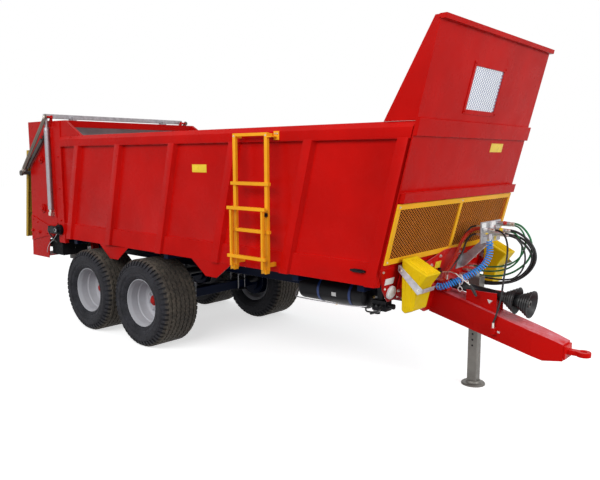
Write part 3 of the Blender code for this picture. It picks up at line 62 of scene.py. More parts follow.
# Camera: place, heading and lens
CAMERA_AT = (7.096, -5.673, 2.344)
CAMERA_YAW, CAMERA_PITCH, CAMERA_ROLL = (math.radians(a) for a in (40.95, -7.53, -0.12))
CAMERA_LENS = 37.8

WHEEL_AT = {"front": 0.60, "rear": -0.60}
WHEEL_Y, TYRE_RADIUS = 0.975, 0.55

SIDES = ((-1, "right"), (1, "left"))


def facing(*direction):
    """The turn whose Z points along the direction."""
    return Vector(direction).to_track_quat("Z", "Y").to_matrix().to_4x4()


IDENTITY = Matrix.Identity(4)
RIGHTWARD = Matrix.Rotation(math.pi / 2, 4, "X")  # its Z points out of the right side
LEFTWARD = Matrix.Rotation(-math.pi / 2, 4, "X")
AHEAD, BACKWARD = facing(1, 0, 0), facing(-1, 0, 0)
FORWARD = facing(1, 0, -LEAN)  # square to the front plane


def at(x, y, z):
    """A place of the model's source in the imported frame."""
    return Vector((x - MID_X, y, z))


def front_x(z):
    return FRONT_X + LEAN * (z - FRONT_TOP)


def on_front(y, z, out=0.0):
    """A place on the leaning front plane, or out metres in front of it."""
    return at(front_x(z) + out, y, z)


# Camera, stage and light

def camera():
    made = bpy.data.objects.new("camera", bpy.data.cameras.new("camera"))
    bpy.context.scene.collection.objects.link(made)
    made.data.lens = CAMERA_LENS
    made.data.sensor_width = 36
    made.data.clip_end = 100
    turn = (
        Matrix.Rotation(CAMERA_YAW, 4, "Z")
        @ Matrix.Rotation(math.pi / 2 + CAMERA_PITCH, 4, "X")
        @ Matrix.Rotation(CAMERA_ROLL, 4, "Z")
    )
    made.matrix_world = Matrix.Translation(at(*CAMERA_AT)) @ turn
    bpy.context.scene.camera = made


def soft_light(name, place, target, size, watts):
    data = bpy.data.lights.new(name, "AREA")
    data.shape = "RECTANGLE"
    data.size, data.size_y = size
    data.energy = watts
    made = bpy.data.objects.new(name, data)
    bpy.context.scene.collection.objects.link(made)
    aim = at(*target) - at(*place)
    made.matrix_world = Matrix.Translation(at(*place)) @ aim.to_track_quat("-Z", "Y").to_matrix().to_4x4()


def seen_ray(nodes, links):
    """1 for rays from the camera, and for those that gloss or glass sends on."""
    path = nodes.new("ShaderNodeLightPath")
    share = path.outputs["Is Camera Ray"]
    for name in ("Is Glossy Ray", "Is Transmission Ray"):
        both = nodes.new("ShaderNodeMath")
        both.operation = "MAXIMUM"
        links.new(share, both.inputs[0])
        links.new(path.outputs[name], both.inputs[1])
        share = both.outputs["Value"]
    return share


def world(light, seen):
    """A plain pale world: its light on the object, and what the camera and reflections see."""
    made = bpy.data.worlds.new("studio")
    bpy.context.scene.world = made
    made.use_nodes = True
    nodes, links = made.node_tree.nodes, made.node_tree.links
    nodes.clear()
    lit, shown = nodes.new("ShaderNodeBackground"), nodes.new("ShaderNodeBackground")
    lit.inputs["Color"].default_value = (0.94, 0.97, 1.0, 1)
    lit.inputs["Strength"].default_value = light
    shown.inputs["Color"].default_value = (1, 1, 1, 1)
    shown.inputs["Strength"].default_value = seen
    mix, out = nodes.new("ShaderNodeMixShader"), nodes.new("ShaderNodeOutputWorld")
    links.new(seen_ray(nodes, links), mix.inputs["Fac"])
    links.new(lit.outputs["Background"], mix.inputs[1])
    links.new(shown.outputs["Background"], mix.inputs[2])
    links.new(mix.outputs["Shader"], out.inputs["Surface"])


def floor():
    """A white floor that keeps the shadow, and throws back less light than its own white would."""
    bm = bmesh.new()
    bmesh.ops.create_grid(bm, x_segments=1, y_segments=1, size=45)
    made = bpy.data.objects.new("floor", mesh_from(bm, "floor"))
    bpy.context.scene.collection.objects.link(made)
    made.location = (0, 0, -0.001)
    finish = bpy.data.materials.new("floor")
    finish.use_nodes = True
    nodes, links = finish.node_tree.nodes, finish.node_tree.links
    shown = nodes["Principled BSDF"]
    shown.inputs["Base Color"].default_value = (0.80, 0.80, 0.80, 1)
    shown.inputs["Roughness"].default_value = 0.9
    shown.inputs["Specular IOR Level"].default_value = 0.0
    shown.inputs["Emission Color"].default_value = (1, 1, 1, 1)
    shown.inputs["Emission Strength"].default_value = 0.62
    dull = nodes.new("ShaderNodeBsdfDiffuse")
    dull.inputs["Color"].default_value = (0.22, 0.22, 0.22, 1)
    mix = nodes.new("ShaderNodeMixShader")
    links.new(seen_ray(nodes, links), mix.inputs["Fac"])
    links.new(dull.outputs["BSDF"], mix.inputs[1])
    links.new(shown.outputs["BSDF"], mix.inputs[2])
    links.new(mix.outputs["Shader"], nodes["Material Output"].inputs["Surface"])
    made.data.materials.append(finish)


# Finishes

class Tree:
    """A material's nodes, with short calls to add and join them."""

    def __init__(self, name):
        self.material = bpy.data.materials.new(name)
        self.material.use_nodes = True
        self.nodes = self.material.node_tree.nodes
        self.links = self.material.node_tree.links
        self.shader = self.nodes["Principled BSDF"]
        self.place = self.nodes.new("ShaderNodeTexCoord").outputs["Object"]

    def set(self, **values):
        for name, value in values.items():
            self.shader.inputs[name.replace("_", " ")].default_value = value

    def noise(self, scale, detail=3.0, rough=0.55, stretch=None):
        made = self.nodes.new("ShaderNodeTexNoise")
        made.inputs["Scale"].default_value = scale
        made.inputs["Detail"].default_value = detail
        made.inputs["Roughness"].default_value = rough
        source = self.place
        if stretch:
            shape = self.nodes.new("ShaderNodeMapping")
            shape.inputs["Scale"].default_value = stretch
            self.links.new(source, shape.inputs["Vector"])
            source = shape.outputs["Vector"]
        self.links.new(source, made.inputs["Vector"])
        return made.outputs["Fac"]

    def spread(self, value, low, high, to_low=0.0, to_high=1.0):
        made = self.nodes.new("ShaderNodeMapRange")
        limits = {"From Min": low, "From Max": high, "To Min": to_low, "To Max": to_high}
        for name, number in limits.items():
            made.inputs[name].default_value = number
        self.links.new(value, made.inputs["Value"])
        return made.outputs["Result"]

    def math(self, operation, a, b=None):
        made = self.nodes.new("ShaderNodeMath")
        made.operation = operation
        for socket, value in zip(made.inputs, (a, b)):
            if isinstance(value, (int, float)):
                socket.default_value = value
            elif value is not None:
                self.links.new(value, socket)
        return made.outputs["Value"]

    def mix(self, share, a, b):
        """Colour a, turning to colour b as share goes to 1. Either may be a socket."""
        made = self.nodes.new("ShaderNodeMix")
        made.data_type = "RGBA"
        self.links.new(share, made.inputs["Factor"])
        for socket, value in ((made.inputs[6], a), (made.inputs[7], b)):
            if isinstance(value, tuple):
                socket.default_value = (*value, 1)
            else:
                self.links.new(value, socket)
        return made.outputs[2]

    def up_share(self):
        """1 on faces that look up, 0 on those that look sideways or down."""
        split = self.nodes.new("ShaderNodeSeparateXYZ")
        normal = self.nodes.new("ShaderNodeNewGeometry").outputs["Normal"]
        self.links.new(normal, split.inputs["Vector"])
        return self.spread(split.outputs["Z"], 0.25, 0.95)

    def colour(self, socket):
        self.links.new(socket, self.shader.inputs["Base Color"])

    def roughness(self, socket):
        self.links.new(socket, self.shader.inputs["Roughness"])

    def bump(self, height, distance, strength=1.0):
        made = self.nodes.new("ShaderNodeBump")
        made.inputs["Distance"].default_value = distance
        made.inputs["Strength"].default_value = strength
        self.links.new(height, made.inputs["Height"])
        self.links.new(made.outputs["Normal"], self.shader.inputs["Normal"])


def shaded(colour, factor):
    return tuple(min(1.0, c * factor) for c in colour)


DUST = (0.30, 0.24, 0.19)


def paint(name, colour, rough=0.28, shine=0.12, dust_and_sheen=0.06, peel=0.00025, dust_and_sheen_colour=DUST):
    """Sprayed gloss paint: a faint cloudiness, orange peel, and dust on what faces up, which on the
    drawbar's paint is a painted sheen of sky.
    """
    tree = Tree(name)
    cloud = tree.spread(tree.noise(1.7, 5), 0.35, 0.65)
    base = tree.mix(cloud, shaded(colour, 0.90), shaded(colour, 1.08))
    # Up-facing faces turn towards the dust colour in patches: real dust on most paints, and a painted sky
    # reflection on the drawbar's.
    patches = tree.spread(tree.noise(9, 6, 0.65), 0.30, 0.75, 0.0, dust_and_sheen)
    tree.colour(tree.mix(tree.math("MULTIPLY", tree.up_share(), patches), base, dust_and_sheen_colour))
    tree.roughness(tree.spread(tree.noise(6, 4), 0.3, 0.7, rough * 0.8, rough * 1.35))
    tree.set(Specular_IOR_Level=shine)
    tree.bump(tree.noise(160, 2), peel, 0.5)
    return tree.material


def bare_metal(name, colour, rough=0.4, metallic=0.9, spangle=False, grain=(1, 1, 1)):
    """Galvanised, plated or worn steel: patches of brightness, and fine scratches along the grain."""
    tree = Tree(name)
    patches = tree.spread(tree.noise(22 if spangle else 5, 4), 0.3, 0.7)
    tree.colour(tree.mix(patches, shaded(colour, 0.75 if spangle else 0.85), shaded(colour, 1.15)))
    tree.set(Metallic=metallic)
    tree.roughness(tree.spread(tree.noise(30, 5), 0.3, 0.7, rough * 0.7, rough * 1.4))
    tree.bump(tree.noise(90, 3, stretch=grain), 0.0004, 0.5)
    return tree.material


def plastic(name, colour, rough=0.35, grain=260, depth=0.0002, weathered=0.12, shine=0.4):
    tree = Tree(name)
    cloud = tree.spread(tree.noise(14, 5), 0.3, 0.7)
    tree.colour(tree.mix(cloud, shaded(colour, 1 - weathered), shaded(colour, 1 + weathered)))
    tree.roughness(tree.spread(tree.noise(25, 3), 0.3, 0.7, rough * 0.8, rough * 1.3))
    tree.set(Specular_IOR_Level=shine)
    tree.bump(tree.noise(grain, 2), depth, 0.6)
    return tree.material


SIDEWALL_TONES = (0.007, 0.007, 0.009), (0.022, 0.022, 0.028)
TREAD_TONES = (0.032, 0.028, 0.023), (0.15, 0.125, 0.098)
DUST_RADII = (0.515, 0.549)  # where the tread's dust starts, and where it is full


def tyre_rubber():
    """Black sidewalls with a bluish bloom, and dry brown dust on the tread past the shoulder."""
    tree = Tree("tyre_rubber")
    split = tree.nodes.new("ShaderNodeSeparateXYZ")
    tree.links.new(tree.place, split.inputs["Vector"])
    squares = [tree.math("POWER", split.outputs[axis], 2.0) for axis in ("X", "Y")]
    radius = tree.math("SQRT", tree.math("ADD", *squares))
    side = tree.mix(tree.spread(tree.noise(7, 6), 0.3, 0.7), *SIDEWALL_TONES)
    tread = tree.mix(tree.spread(tree.noise(26, 6, 0.7), 0.3, 0.7), *TREAD_TONES)
    patchy = tree.spread(tree.noise(3.5, 5), 0.25, 0.6, 0.35, 1.0)
    worn = tree.math("MULTIPLY", tree.spread(radius, *DUST_RADII), patchy)
    tree.colour(tree.mix(worn, side, tread))
    tree.roughness(tree.spread(tree.noise(40, 3), 0.3, 0.7, 0.55, 0.85))
    tree.set(Specular_IOR_Level=0.25)
    tree.bump(tree.noise(180, 4), 0.0006, 0.6)
    return tree.material


RED = (0.55, 0.0050, 0.0035)
FINISH = {
    "red": paint("red_paint", RED, shine=0.05),
    # A darker copy of the red, for the front wall and headboard that face forward: painted shade on the
    # front.
    "shaded_front_red": paint("shaded_front_red_paint", (0.50, 0.0045, 0.0030), shine=0.04),
    # The drawbar's red: its up-facing faces turn pale pink, a painted sheen that stands for the sky's
    # reflection, not dust.
    "beam_red": paint("beam_red_sky_sheen_paint", RED, shine=0.06, dust_and_sheen=0.75, dust_and_sheen_colour=(0.70, 0.30, 0.36)),
    "yellow": paint("yellow_paint", (0.90, 0.40, 0.015), rough=0.35),
    "grille_yellow": paint("grille_yellow", (0.92, 0.46, 0.012), rough=0.35),
    "grille_strand": paint("grille_strand", (0.72, 0.23, 0.03), rough=0.5, shine=0.1),
    # Near black, for the sheet behind the grille's mesh: painted shade.
    "shade_sheet": paint("grille_shade_paint", (0.010, 0.003, 0.003), rough=0.7, shine=0.02),
    "cover": paint("cover_paint", (0.56, 0.36, 0.05), rough=0.4, dust_and_sheen=0.2),
    "arm": paint("arm_paint", (0.19, 0.155, 0.13), rough=0.45, dust_and_sheen=0.3),
    "navy": paint("navy_paint", (0.0015, 0.006, 0.027), rough=0.35, shine=0.06, dust_and_sheen=0.02),
    "black": paint("black_paint", (0.005, 0.005, 0.007), rough=0.38, shine=0.12, dust_and_sheen=0.03),
    "silver": paint("silver_paint", (0.47, 0.47, 0.50), rough=0.30, dust_and_sheen=0.15),
    "pale_mesh": paint("pale_mesh", (0.36, 0.41, 0.56), rough=0.4, dust_and_sheen=0.0),
    "blank": paint("white_plate", (0.80, 0.80, 0.80), rough=0.35),
    "galvanised": bare_metal("galvanised", (0.44, 0.43, 0.45), 0.42, 0.7, spangle=True),
    "steel": bare_metal("dark_steel", (0.075, 0.072, 0.068), 0.5, 0.6, grain=(1, 6, 1)),
    "jack": bare_metal("jack_steel", (0.17, 0.16, 0.145), 0.45, 0.5, grain=(1, 5, 1)),
    "grey": bare_metal("grey_steel", (0.25, 0.25, 0.26), 0.45, 0.5, grain=(1, 5, 1)),
    "barrel": bare_metal("barrel_steel", (0.36, 0.34, 0.36), 0.35, 0.6),
    "chrome": bare_metal("chrome", (0.45, 0.45, 0.47), 0.14, 1.0, grain=(1, 1, 8)),
    "zinc": bare_metal("zinc_bolts", (0.62, 0.60, 0.55), 0.3, 0.9),
    "brass": bare_metal("brass_fittings", (0.55, 0.38, 0.12), 0.3, 0.9),
    "tyre": tyre_rubber(),
    "rubber": plastic("hose_rubber", (0.010, 0.010, 0.011), 0.5, 400, 0.0003),
    "guard": plastic("guard_plastic", (0.006, 0.006, 0.007), 0.42, 300, 0.0002),
    "chock": plastic("chock_plastic", (0.78, 0.53, 0.004), 0.45, 220, 0.0004, 0.06, 0.12),
    "blue": plastic("blue_hose", (0.04, 0.31, 0.84), 0.28, 500, 0.0001, 0.12, 0.3),
    "red_hose": plastic("red_hose", (0.60, 0.03, 0.01), 0.30, 500, 0.0001, 0.12, 0.3),
    "curtain": plastic("curtain_and_shade_flaps", (0.008, 0.008, 0.009), 0.7, 120, 0.0005, 0.2, 0.1),
    "green": plastic("green_hose", (0.012, 0.15, 0.045), 0.45, 420, 0.0003),
    "red_cap": plastic("red_cap", (0.55, 0.02, 0.01), 0.30, 300, 0.0001),
    "yellow_cap": plastic("yellow_cap", (0.85, 0.60, 0.02), 0.30, 300, 0.0001),
    "strap": plastic("blue_strap", (0.01, 0.035, 0.16), 0.4, 300, 0.0002),
    "lens": plastic("lamp_lens", (0.80, 0.80, 0.79), 0.12, 90, 0.0008, 0.04),
    "hub_red": paint("hub_red", (0.42, 0.012, 0.010), rough=0.4),
}

NODES_OF = {  # finish: the CAD nodes that have it
    "navy": "axle_front axle_rear chassis_frame",
    "black": "suspension air_tank floor_drive brake_valve",
    "red": "floor_panel side_wall_right side_wall_left rear_portal unit_frame towing_eye",
    "shaded_front_red": "front_wall headboard",
    "beam_red": "drawbar",
    "grille_yellow": "grille",
    "yellow": "ladder_upper ladder_lower",
    "cover": "rear_cover",
    "steel": "scraper_chain scraper_return drive_shaft idler_shaft disc_gearbox beater_lower beater_upper "
             "disc_right disc_left driveline",
    "grey": "slurry_door",
    "galvanised": "door_crossbar door_barrel_right door_barrel_left cover_barrel_right cover_barrel_left "
                  "hose_rack",
    "chrome": "cover_rod_right cover_rod_left",
    "jack": "jack",
    "chock": "chock_right chock_left",
    "lens": "front_lamp_right front_lamp_left",
    "guard": "pto_shaft",
    "rubber": "hose_upper hose_lower hose_far hose_drop",
    "green": "hose_green",
    "blue": "air_coil",
}
NODE_FINISH = {node: finish for finish, nodes in NODES_OF.items() for node in nodes.split()}


# Meshes

SMOOTH_BELOW = 35  # degrees between faces that still look like one round surface
BEVEL_ABOVE = 38  # degrees between faces whose edge gets rounded
MESH_GAP = 1e-5  # vertices nearer than this become one
UP = (0, 0, 1)


def body_of(node):
    for body, members in frame["record"]["behaviour"]["bodies"].items():
        if node in members:
            return body
    raise KeyError(node)


def mesh_from(bm, name):
    mesh = bpy.data.meshes.new(name)
    bm.to_mesh(mesh)
    bm.free()
    return mesh


def dress(mesh, finish, smooth=SMOOTH_BELOW):
    """Gives a mesh its finish, and smooth shading where its faces meet at less than smooth degrees."""
    mesh.materials.clear()
    mesh.materials.append(FINISH[finish])
    if smooth:
        mesh.shade_smooth()
        mesh.set_sharp_from_angle(angle=math.radians(smooth))


def dress_nodes():
    for node, finish in NODE_FINISH.items():
        dress(frame["nodes"][node].data, finish)


def add_piece(name, mesh, finish, body="machine", matrix=None, smooth=SMOOTH_BELOW, edge=0.0,
              replaces=None):
    """Puts a mesh or a bmesh in the scene, on its body, with its edges rounded by edge."""
    if isinstance(mesh, bmesh.types.BMesh):
        mesh = mesh_from(mesh, name)
    made = bpy.data.objects.new(name, mesh)
    bpy.context.scene.collection.objects.link(made)
    dress(mesh, finish, smooth)
    if matrix is not None:
        made.matrix_world = matrix
    if edge:
        change = made.modifiers.new("edges", "BEVEL")
        change.width = edge
        change.segments = 2
        change.limit_method = "ANGLE"
        change.angle_limit = math.radians(BEVEL_ABOVE)
        change.harden_normals = True
        change.use_clamp_overlap = False
    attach(made, body)
    if replaces:
        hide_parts(replaces)
    return made


def rounded(node, width):
    """A copy of the node whose edges are rounded, which then stands for it."""
    bm = bmesh.new()
    bm.from_mesh(frame["nodes"][node].data)
    bmesh.ops.remove_doubles(bm, verts=bm.verts, dist=2e-5)
    bmesh.ops.dissolve_limit(bm, angle_limit=math.radians(0.5), verts=bm.verts, edges=bm.edges)
    return add_piece(f"{node}_fine", bm, NODE_FINISH[node], body_of(node), edge=width, replaces=node)


def weld(bm, gap=MESH_GAP):
    """Joins the vertices that coincide, and turns all faces outward."""
    bmesh.ops.remove_doubles(bm, verts=bm.verts, dist=gap)
    bmesh.ops.recalc_face_normals(bm, faces=bm.faces)


def band(bm, here, following, closed=True):
    """A row of faces between two rows of vertices."""
    count = len(here)
    for j in range(count if closed else count - 1):
        k = (j + 1) % count
        bm.faces.new((here[j], here[k], following[k], following[j]))


def lathe(bm, profile, segments, closed=False, place=IDENTITY):
    """Turns a profile of (radius, height) about Z. It runs down its outer side."""
    rings = []
    for i in range(segments):
        turn = math.tau * i / segments
        c, s = math.cos(turn), math.sin(turn)
        rings.append([bm.verts.new(place @ Vector((r * c, r * s, z))) for r, z in profile])
    for i in range(segments):
        band(bm, rings[i], rings[(i + 1) % segments], closed)


def turned_piece(name, profile, place, finish, body="machine", segments=32, **more):
    """A lathed piece that starts and ends on its axis, standing along place's Z."""
    bm = bmesh.new()
    lathe(bm, profile, segments, place=place)
    weld(bm)
    return add_piece(name, bm, finish, body, **more)


def standing(place, along):
    """A frame at place whose Z points along the vector."""
    return Matrix.Translation(place) @ facing(*along)


def outward(side):
    """The turn whose Z points out of that side of the machine."""
    return RIGHTWARD if side < 0 else LEFTWARD


def between(side, inner, outer):
    """From inner to outer off the middle, on that side, in rising order."""
    return sorted((side * inner, side * outer))


def block(bm, x, y, z):
    size = Matrix.Diagonal((abs(x[1] - x[0]), abs(y[1] - y[0]), abs(z[1] - z[0]), 1))
    middle = Matrix.Translation(((x[0] + x[1]) / 2 - MID_X, (y[0] + y[1]) / 2, (z[0] + z[1]) / 2))
    bmesh.ops.create_cube(bm, size=1, matrix=middle @ size)


def blocks(name, finish, boxes, edge, body="machine"):
    """One piece made of blocks."""
    bm = bmesh.new()
    for box in boxes:
        block(bm, *box)
    add_piece(name, bm, finish, body, edge=edge)


def box_on(bm, corners):
    """A box on eight corners, listed so that the last of three measures changes first."""
    made = [bm.verts.new(corner) for corner in corners]
    for face in ((0, 1, 3, 2), (4, 6, 7, 5), (0, 4, 5, 1), (2, 3, 7, 6), (0, 2, 6, 4), (1, 5, 7, 3)):
        bm.faces.new([made[i] for i in face])


def front_block(bm, out, y, z):
    """A block on the leaning front plane, between two distances in front of it."""
    box_on(bm, [on_front(b, c, a) for a in out for b in y for c in z])
    bmesh.ops.recalc_face_normals(bm, faces=bm.faces)


def upright(u, v, h):
    """Lays an outline of (x, z) across the machine."""
    return at(u, h, v)


def slab(bm, outline, low, high, lay=upright):
    """A flat outline, laid in space by lay(u, v, height), as thick as low to high."""
    sheets = [[bm.verts.new(lay(u, v, h)) for u, v in outline] for h in (low, high)]
    bm.faces.new(sheets[0])
    bm.faces.new(list(reversed(sheets[1])))
    band(bm, sheets[1], sheets[0])
    bmesh.ops.recalc_face_normals(bm, faces=bm.faces)


def tube(bm, points, radius, sides=12, caps=True):
    """A round tube along the points, which may have a radius each."""
    points = [Vector(p) for p in points]
    radii = radius if isinstance(radius, (list, tuple)) else [radius] * len(points)
    heading = (points[1] - points[0]).normalized()
    across = heading.orthogonal().normalized()
    turns = [math.tau * k / sides for k in range(sides)]
    rings = []
    for i, point in enumerate(points):
        before, after = points[max(i - 1, 0)], points[min(i + 1, len(points) - 1)]
        ahead = (after - before).normalized()
        across = (heading.rotation_difference(ahead) @ across).normalized()
        heading = ahead
        other = ahead.cross(across)
        ring = [point + radii[i] * (math.cos(turn) * across + math.sin(turn) * other) for turn in turns]
        rings.append([bm.verts.new(spot) for spot in ring])
    for here, following in zip(rings, rings[1:]):
        band(bm, here, following)
    if caps:
        bm.faces.new(list(reversed(rings[0])))
        bm.faces.new(rings[-1])


def rod(bm, start, end, radius, sides=12):
    """A straight tube between two places."""
    tube(bm, [at(*start), at(*end)], radius, sides)


def smooth_run(points, step, ends=True):
    """Points about a step apart on a smooth curve through the given ones, as in the model's source."""
    knots = [Vector(point) for point in points]
    knots = [2 * knots[0] - knots[1], *knots, 2 * knots[-1] - knots[-2]]
    fine = []
    for a, b, c, d in zip(knots, knots[1:], knots[2:], knots[3:]):
        for i in range(12):
            t = i / 12
            square = (2 * a - 5 * b + 4 * c - d) * t ** 2 / 2
            fine.append(b + (c - a) * t / 2 + square + (3 * b - a - 3 * c + d) * t ** 3 / 2)
    fine.append(knots[-2])
    gone = [0.0]
    for a, b in zip(fine, fine[1:]):
        gone.append(gone[-1] + (b - a).length)
    count = max(2, round(gone[-1] / step))
    run = []
    for i in range(count + 1):
        goal = gone[-1] * i / count
        k = min(next(n for n, length in enumerate(gone) if length >= goal - 1e-9), len(fine) - 1)
        share = 0 if k == 0 else (goal - gone[k - 1]) / (gone[k] - gone[k - 1])
        run.append(fine[0].copy() if k == 0 else fine[k - 1].lerp(fine[k], share))
    if ends:
        for end, inner in ((0, 1), (-1, -2)):
            out = run[inner] - run[end]
            axis = max(range(3), key=lambda n: abs(out[n]))
            straight = Vector((0, 0, 0))
            straight[axis] = math.copysign(out.length, out[axis])
            run[inner] = run[end] + straight
    return run


def line(bm, places, step, radius, sides=10):
    """A tube that runs smoothly through the places."""
    tube(bm, smooth_run([at(*place) for place in places], step, ends=False), radius, sides)


def hex_nut(bm, place, size, height, turn=IDENTITY):
    """A chamfered nut on its washer, with the stud's end, standing along turn's Z."""
    here = Matrix.Translation(place) @ turn
    for radius, low, high, top, sides in (
        (size * 1.25, 0.0, height * 0.18, size * 1.25, 20), (size, height * 0.15, height, size * 0.93, 6),
        (size * 0.52, height * 0.9, height * 1.35, size * 0.46, 12),
    ):
        middle = here @ Matrix.Translation((0, 0, (low + high) / 2))
        bmesh.ops.create_cone(bm, cap_ends=True, segments=sides, radius1=radius, radius2=top,
                              depth=high - low, matrix=middle)


def circle(middle, radius, count, phase=0.0, second=(0, 1, 0)):
    """Places round a circle that X and the second direction span."""
    turns = [math.tau * (i + phase) / count for i in range(count)]
    reach = [(radius * math.cos(turn), radius * math.sin(turn)) for turn in turns]
    return [Vector(middle) + Vector((c, 0, 0)) + s * Vector(second) for c, s in reach]


def nuts(bm, places, size, height, turn=IDENTITY):
    for place in places:
        hex_nut(bm, place, size, height, turn)


def bolts(name, places, turn, finish="zinc", body="machine", size=0.011, height=0.011):
    bm = bmesh.new()
    nuts(bm, places, size, height, turn)
    add_piece(name, bm, finish, body)


# Wheels

TREAD_RIBS = (  # middle across the tread, half width
    (0.0, 0.026), (0.066, 0.024), (-0.066, 0.024), (0.130, 0.024), (-0.130, 0.024),
)
SHOULDER_RIB_Y, SHOULDER_RIB_HALF, SHOULDER_RIB_REACH = 0.186, 0.017, 0.004
ZIGZAG_COUNT, ZIGZAG_REACH, FLANK = 60, 0.0075, 0.003
GROOVE_DEPTH, RIB_ROOT = 0.013, 0.003
TREAD_EDGE = 0.200
LUG_COUNT, LUG_SHARE = 52, 0.58  # blocks round a shoulder, and the share of the round that they fill
SIDE_RINGS = ((0.448, 0.2735), (0.391, 0.2725), (0.333, 0.248))  # raised rings: radius, height
RING_RISE = 0.003
TYRE_SEGMENTS = 96
SIDEWALL = (  # radius, height off the middle plane, from the shoulder to the bead
    (0.537, 0.160), (0.533, 0.190), (0.508, 0.232), (0.484, 0.250), (0.470, 0.262), (0.463, 0.270),
    (0.430, 0.2745), (0.400, 0.2735), (0.378, 0.268), (0.376, 0.2645), (0.360, 0.262), (0.345, 0.254),
    (0.343, 0.2505), (0.325, 0.243), (0.312, 0.232), (0.3035, 0.221), (0.3004, 0.2065), (0.2865, 0.2035),
)


def zigzag_rib(bm, middle, half, base, count=ZIGZAG_COUNT, reach=ZIGZAG_REACH):
    """A rib round the tread whose edges step from side to side, with slightly sloped flanks."""
    rings = []
    for i in range(count * 2):
        turn = math.tau * i / (count * 2)
        shift = middle + (reach if i % 2 else -reach)
        section = ((base, half + FLANK), (TYRE_RADIUS, half), (TYRE_RADIUS, -half), (base, -half - FLANK))
        c, s = math.cos(turn), math.sin(turn)
        rings.append([bm.verts.new((r * c, r * s, shift + off)) for r, off in section])
    for i, here in enumerate(rings):
        band(bm, here, rings[(i + 1) % len(rings)], closed=False)


LUG_SECTION = (  # radius, height: down its outer face from the tread's edge, and back inside the tyre
    (TYRE_RADIUS, TREAD_EDGE - 0.006), (0.545, 0.208), (0.531, 0.238), (0.500, 0.258), (0.478, 0.266),
    (0.470, 0.252), (0.480, 0.225), (0.525, 0.180),
)
LUG_END = 0.9  # a lug's width at the ends of its outer face, as a share of its width between them


def shoulder_lug(bm, turn, half_angle, side):
    """One block that wraps from the tread's edge down the shoulder."""
    sides = []
    for edge in (-1, 1):
        ring = []
        for j, (r, z) in enumerate(LUG_SECTION):
            angle = turn + edge * half_angle * (1.0 if 0 < j < 4 else LUG_END)
            ring.append(bm.verts.new((r * math.cos(angle), r * math.sin(angle), side * z)))
        sides.append(ring)
    band(bm, sides[1], sides[0])
    bm.faces.new(sides[0])
    bm.faces.new(list(reversed(sides[1])))


def tyre_fine_mesh():
    bm = bmesh.new()
    lathe(bm, list(SIDEWALL) + [(r, -z) for r, z in reversed(SIDEWALL)], TYRE_SEGMENTS, closed=True)
    base = TYRE_RADIUS - GROOVE_DEPTH - RIB_ROOT
    for middle, half in TREAD_RIBS:
        zigzag_rib(bm, middle, half, base)
    for side in (-1, 1):
        zigzag_rib(bm, side * SHOULDER_RIB_Y, SHOULDER_RIB_HALF, base, LUG_COUNT, SHOULDER_RIB_REACH)
        for i in range(LUG_COUNT):
            turn = math.tau * (i + 0.5 * (side > 0)) / LUG_COUNT
            shoulder_lug(bm, turn, LUG_SHARE * math.pi / LUG_COUNT, side)
        for radius, height in SIDE_RINGS:
            section = ((-0.006, -0.002), (-0.002, RING_RISE), (0.002, RING_RISE), (0.006, -0.002))
            lathe(bm, [(radius + r, side * (height + z)) for r, z in section], TYRE_SEGMENTS)
    bmesh.ops.recalc_face_normals(bm, faces=bm.faces)
    return mesh_from(bm, "tyre_fine")


RIM = (  # radius, height: from the hub out over the dish to the outer flange
    (0.0, 0.030), (0.040, 0.030), (0.055, 0.026), (0.062, 0.016), (0.064, -0.038), (0.078, -0.040),
    (0.083, -0.0465), (0.112, -0.048), (0.120, -0.043), (0.195, -0.043), (0.205, -0.048), (0.225, -0.046),
    (0.243, -0.036), (0.252, -0.020), (0.2525, 0.060), (0.256, 0.074), (0.268, 0.084), (0.270, 0.168),
    (0.273, 0.182), (0.281, 0.194), (0.2835, 0.207), (0.290, 0.2185), (0.297, 0.2205), (0.300, 0.216),
    (0.300, 0.2075), (0.2861, 0.204),
)
RIM_BACK = (
    (0.2861, -0.204), (0.300, -0.2075), (0.300, -0.216), (0.297, -0.2205), (0.288, -0.2185),
    (0.280, -0.200), (0.264, -0.190), (0.258, -0.10), (0.250, -0.060), (0.205, -0.066), (0.205, -0.222),
    (0.196, -0.234), (0.060, -0.234), (0.050, -0.225), (0.050, -0.10), (0.0, -0.10),
)
DRUM = ((0.2052, -0.070), (0.2056, -0.221), (0.197, -0.2346), (0.060, -0.2346))
HUB_CAP = (
    (0.0, 0.062), (0.030, 0.062), (0.040, 0.056), (0.045, 0.044), (0.048, 0.0305), (0.066, 0.0305),
    (0.0665, 0.018), (0.0665, -0.037),
)
WHEEL_NUTS = {"radius": 0.1675, "count": 10, "phase": 0.5}
CAP_BOLTS = {"radius": 0.057, "count": 6}
VALVE = ((0.225, 0.03, -0.048), (0.232, 0.03, -0.02), (0.242, 0.032, 0.012))


def rim_fine_mesh():
    bm = bmesh.new()
    lathe(bm, RIM + RIM_BACK, 72)
    weld(bm)
    nuts(bm, circle((0, 0, -0.044), **WHEEL_NUTS), 0.0175, 0.024)
    tube(bm, VALVE, 0.005, 8)
    return mesh_from(bm, "rim_fine")


def hub_cap_mesh():
    """The red hub end with its cap and the ring of cap bolts."""
    bm = bmesh.new()
    lathe(bm, HUB_CAP, 40)
    weld(bm)
    nuts(bm, circle((0, 0, 0.030), **CAP_BOLTS), 0.0055, 0.006)
    return mesh_from(bm, "hub_cap")


def drum_mesh():
    bm = bmesh.new()
    lathe(bm, DRUM, 56)
    bmesh.ops.recalc_face_normals(bm, faces=bm.faces)
    return mesh_from(bm, "brake_drum")


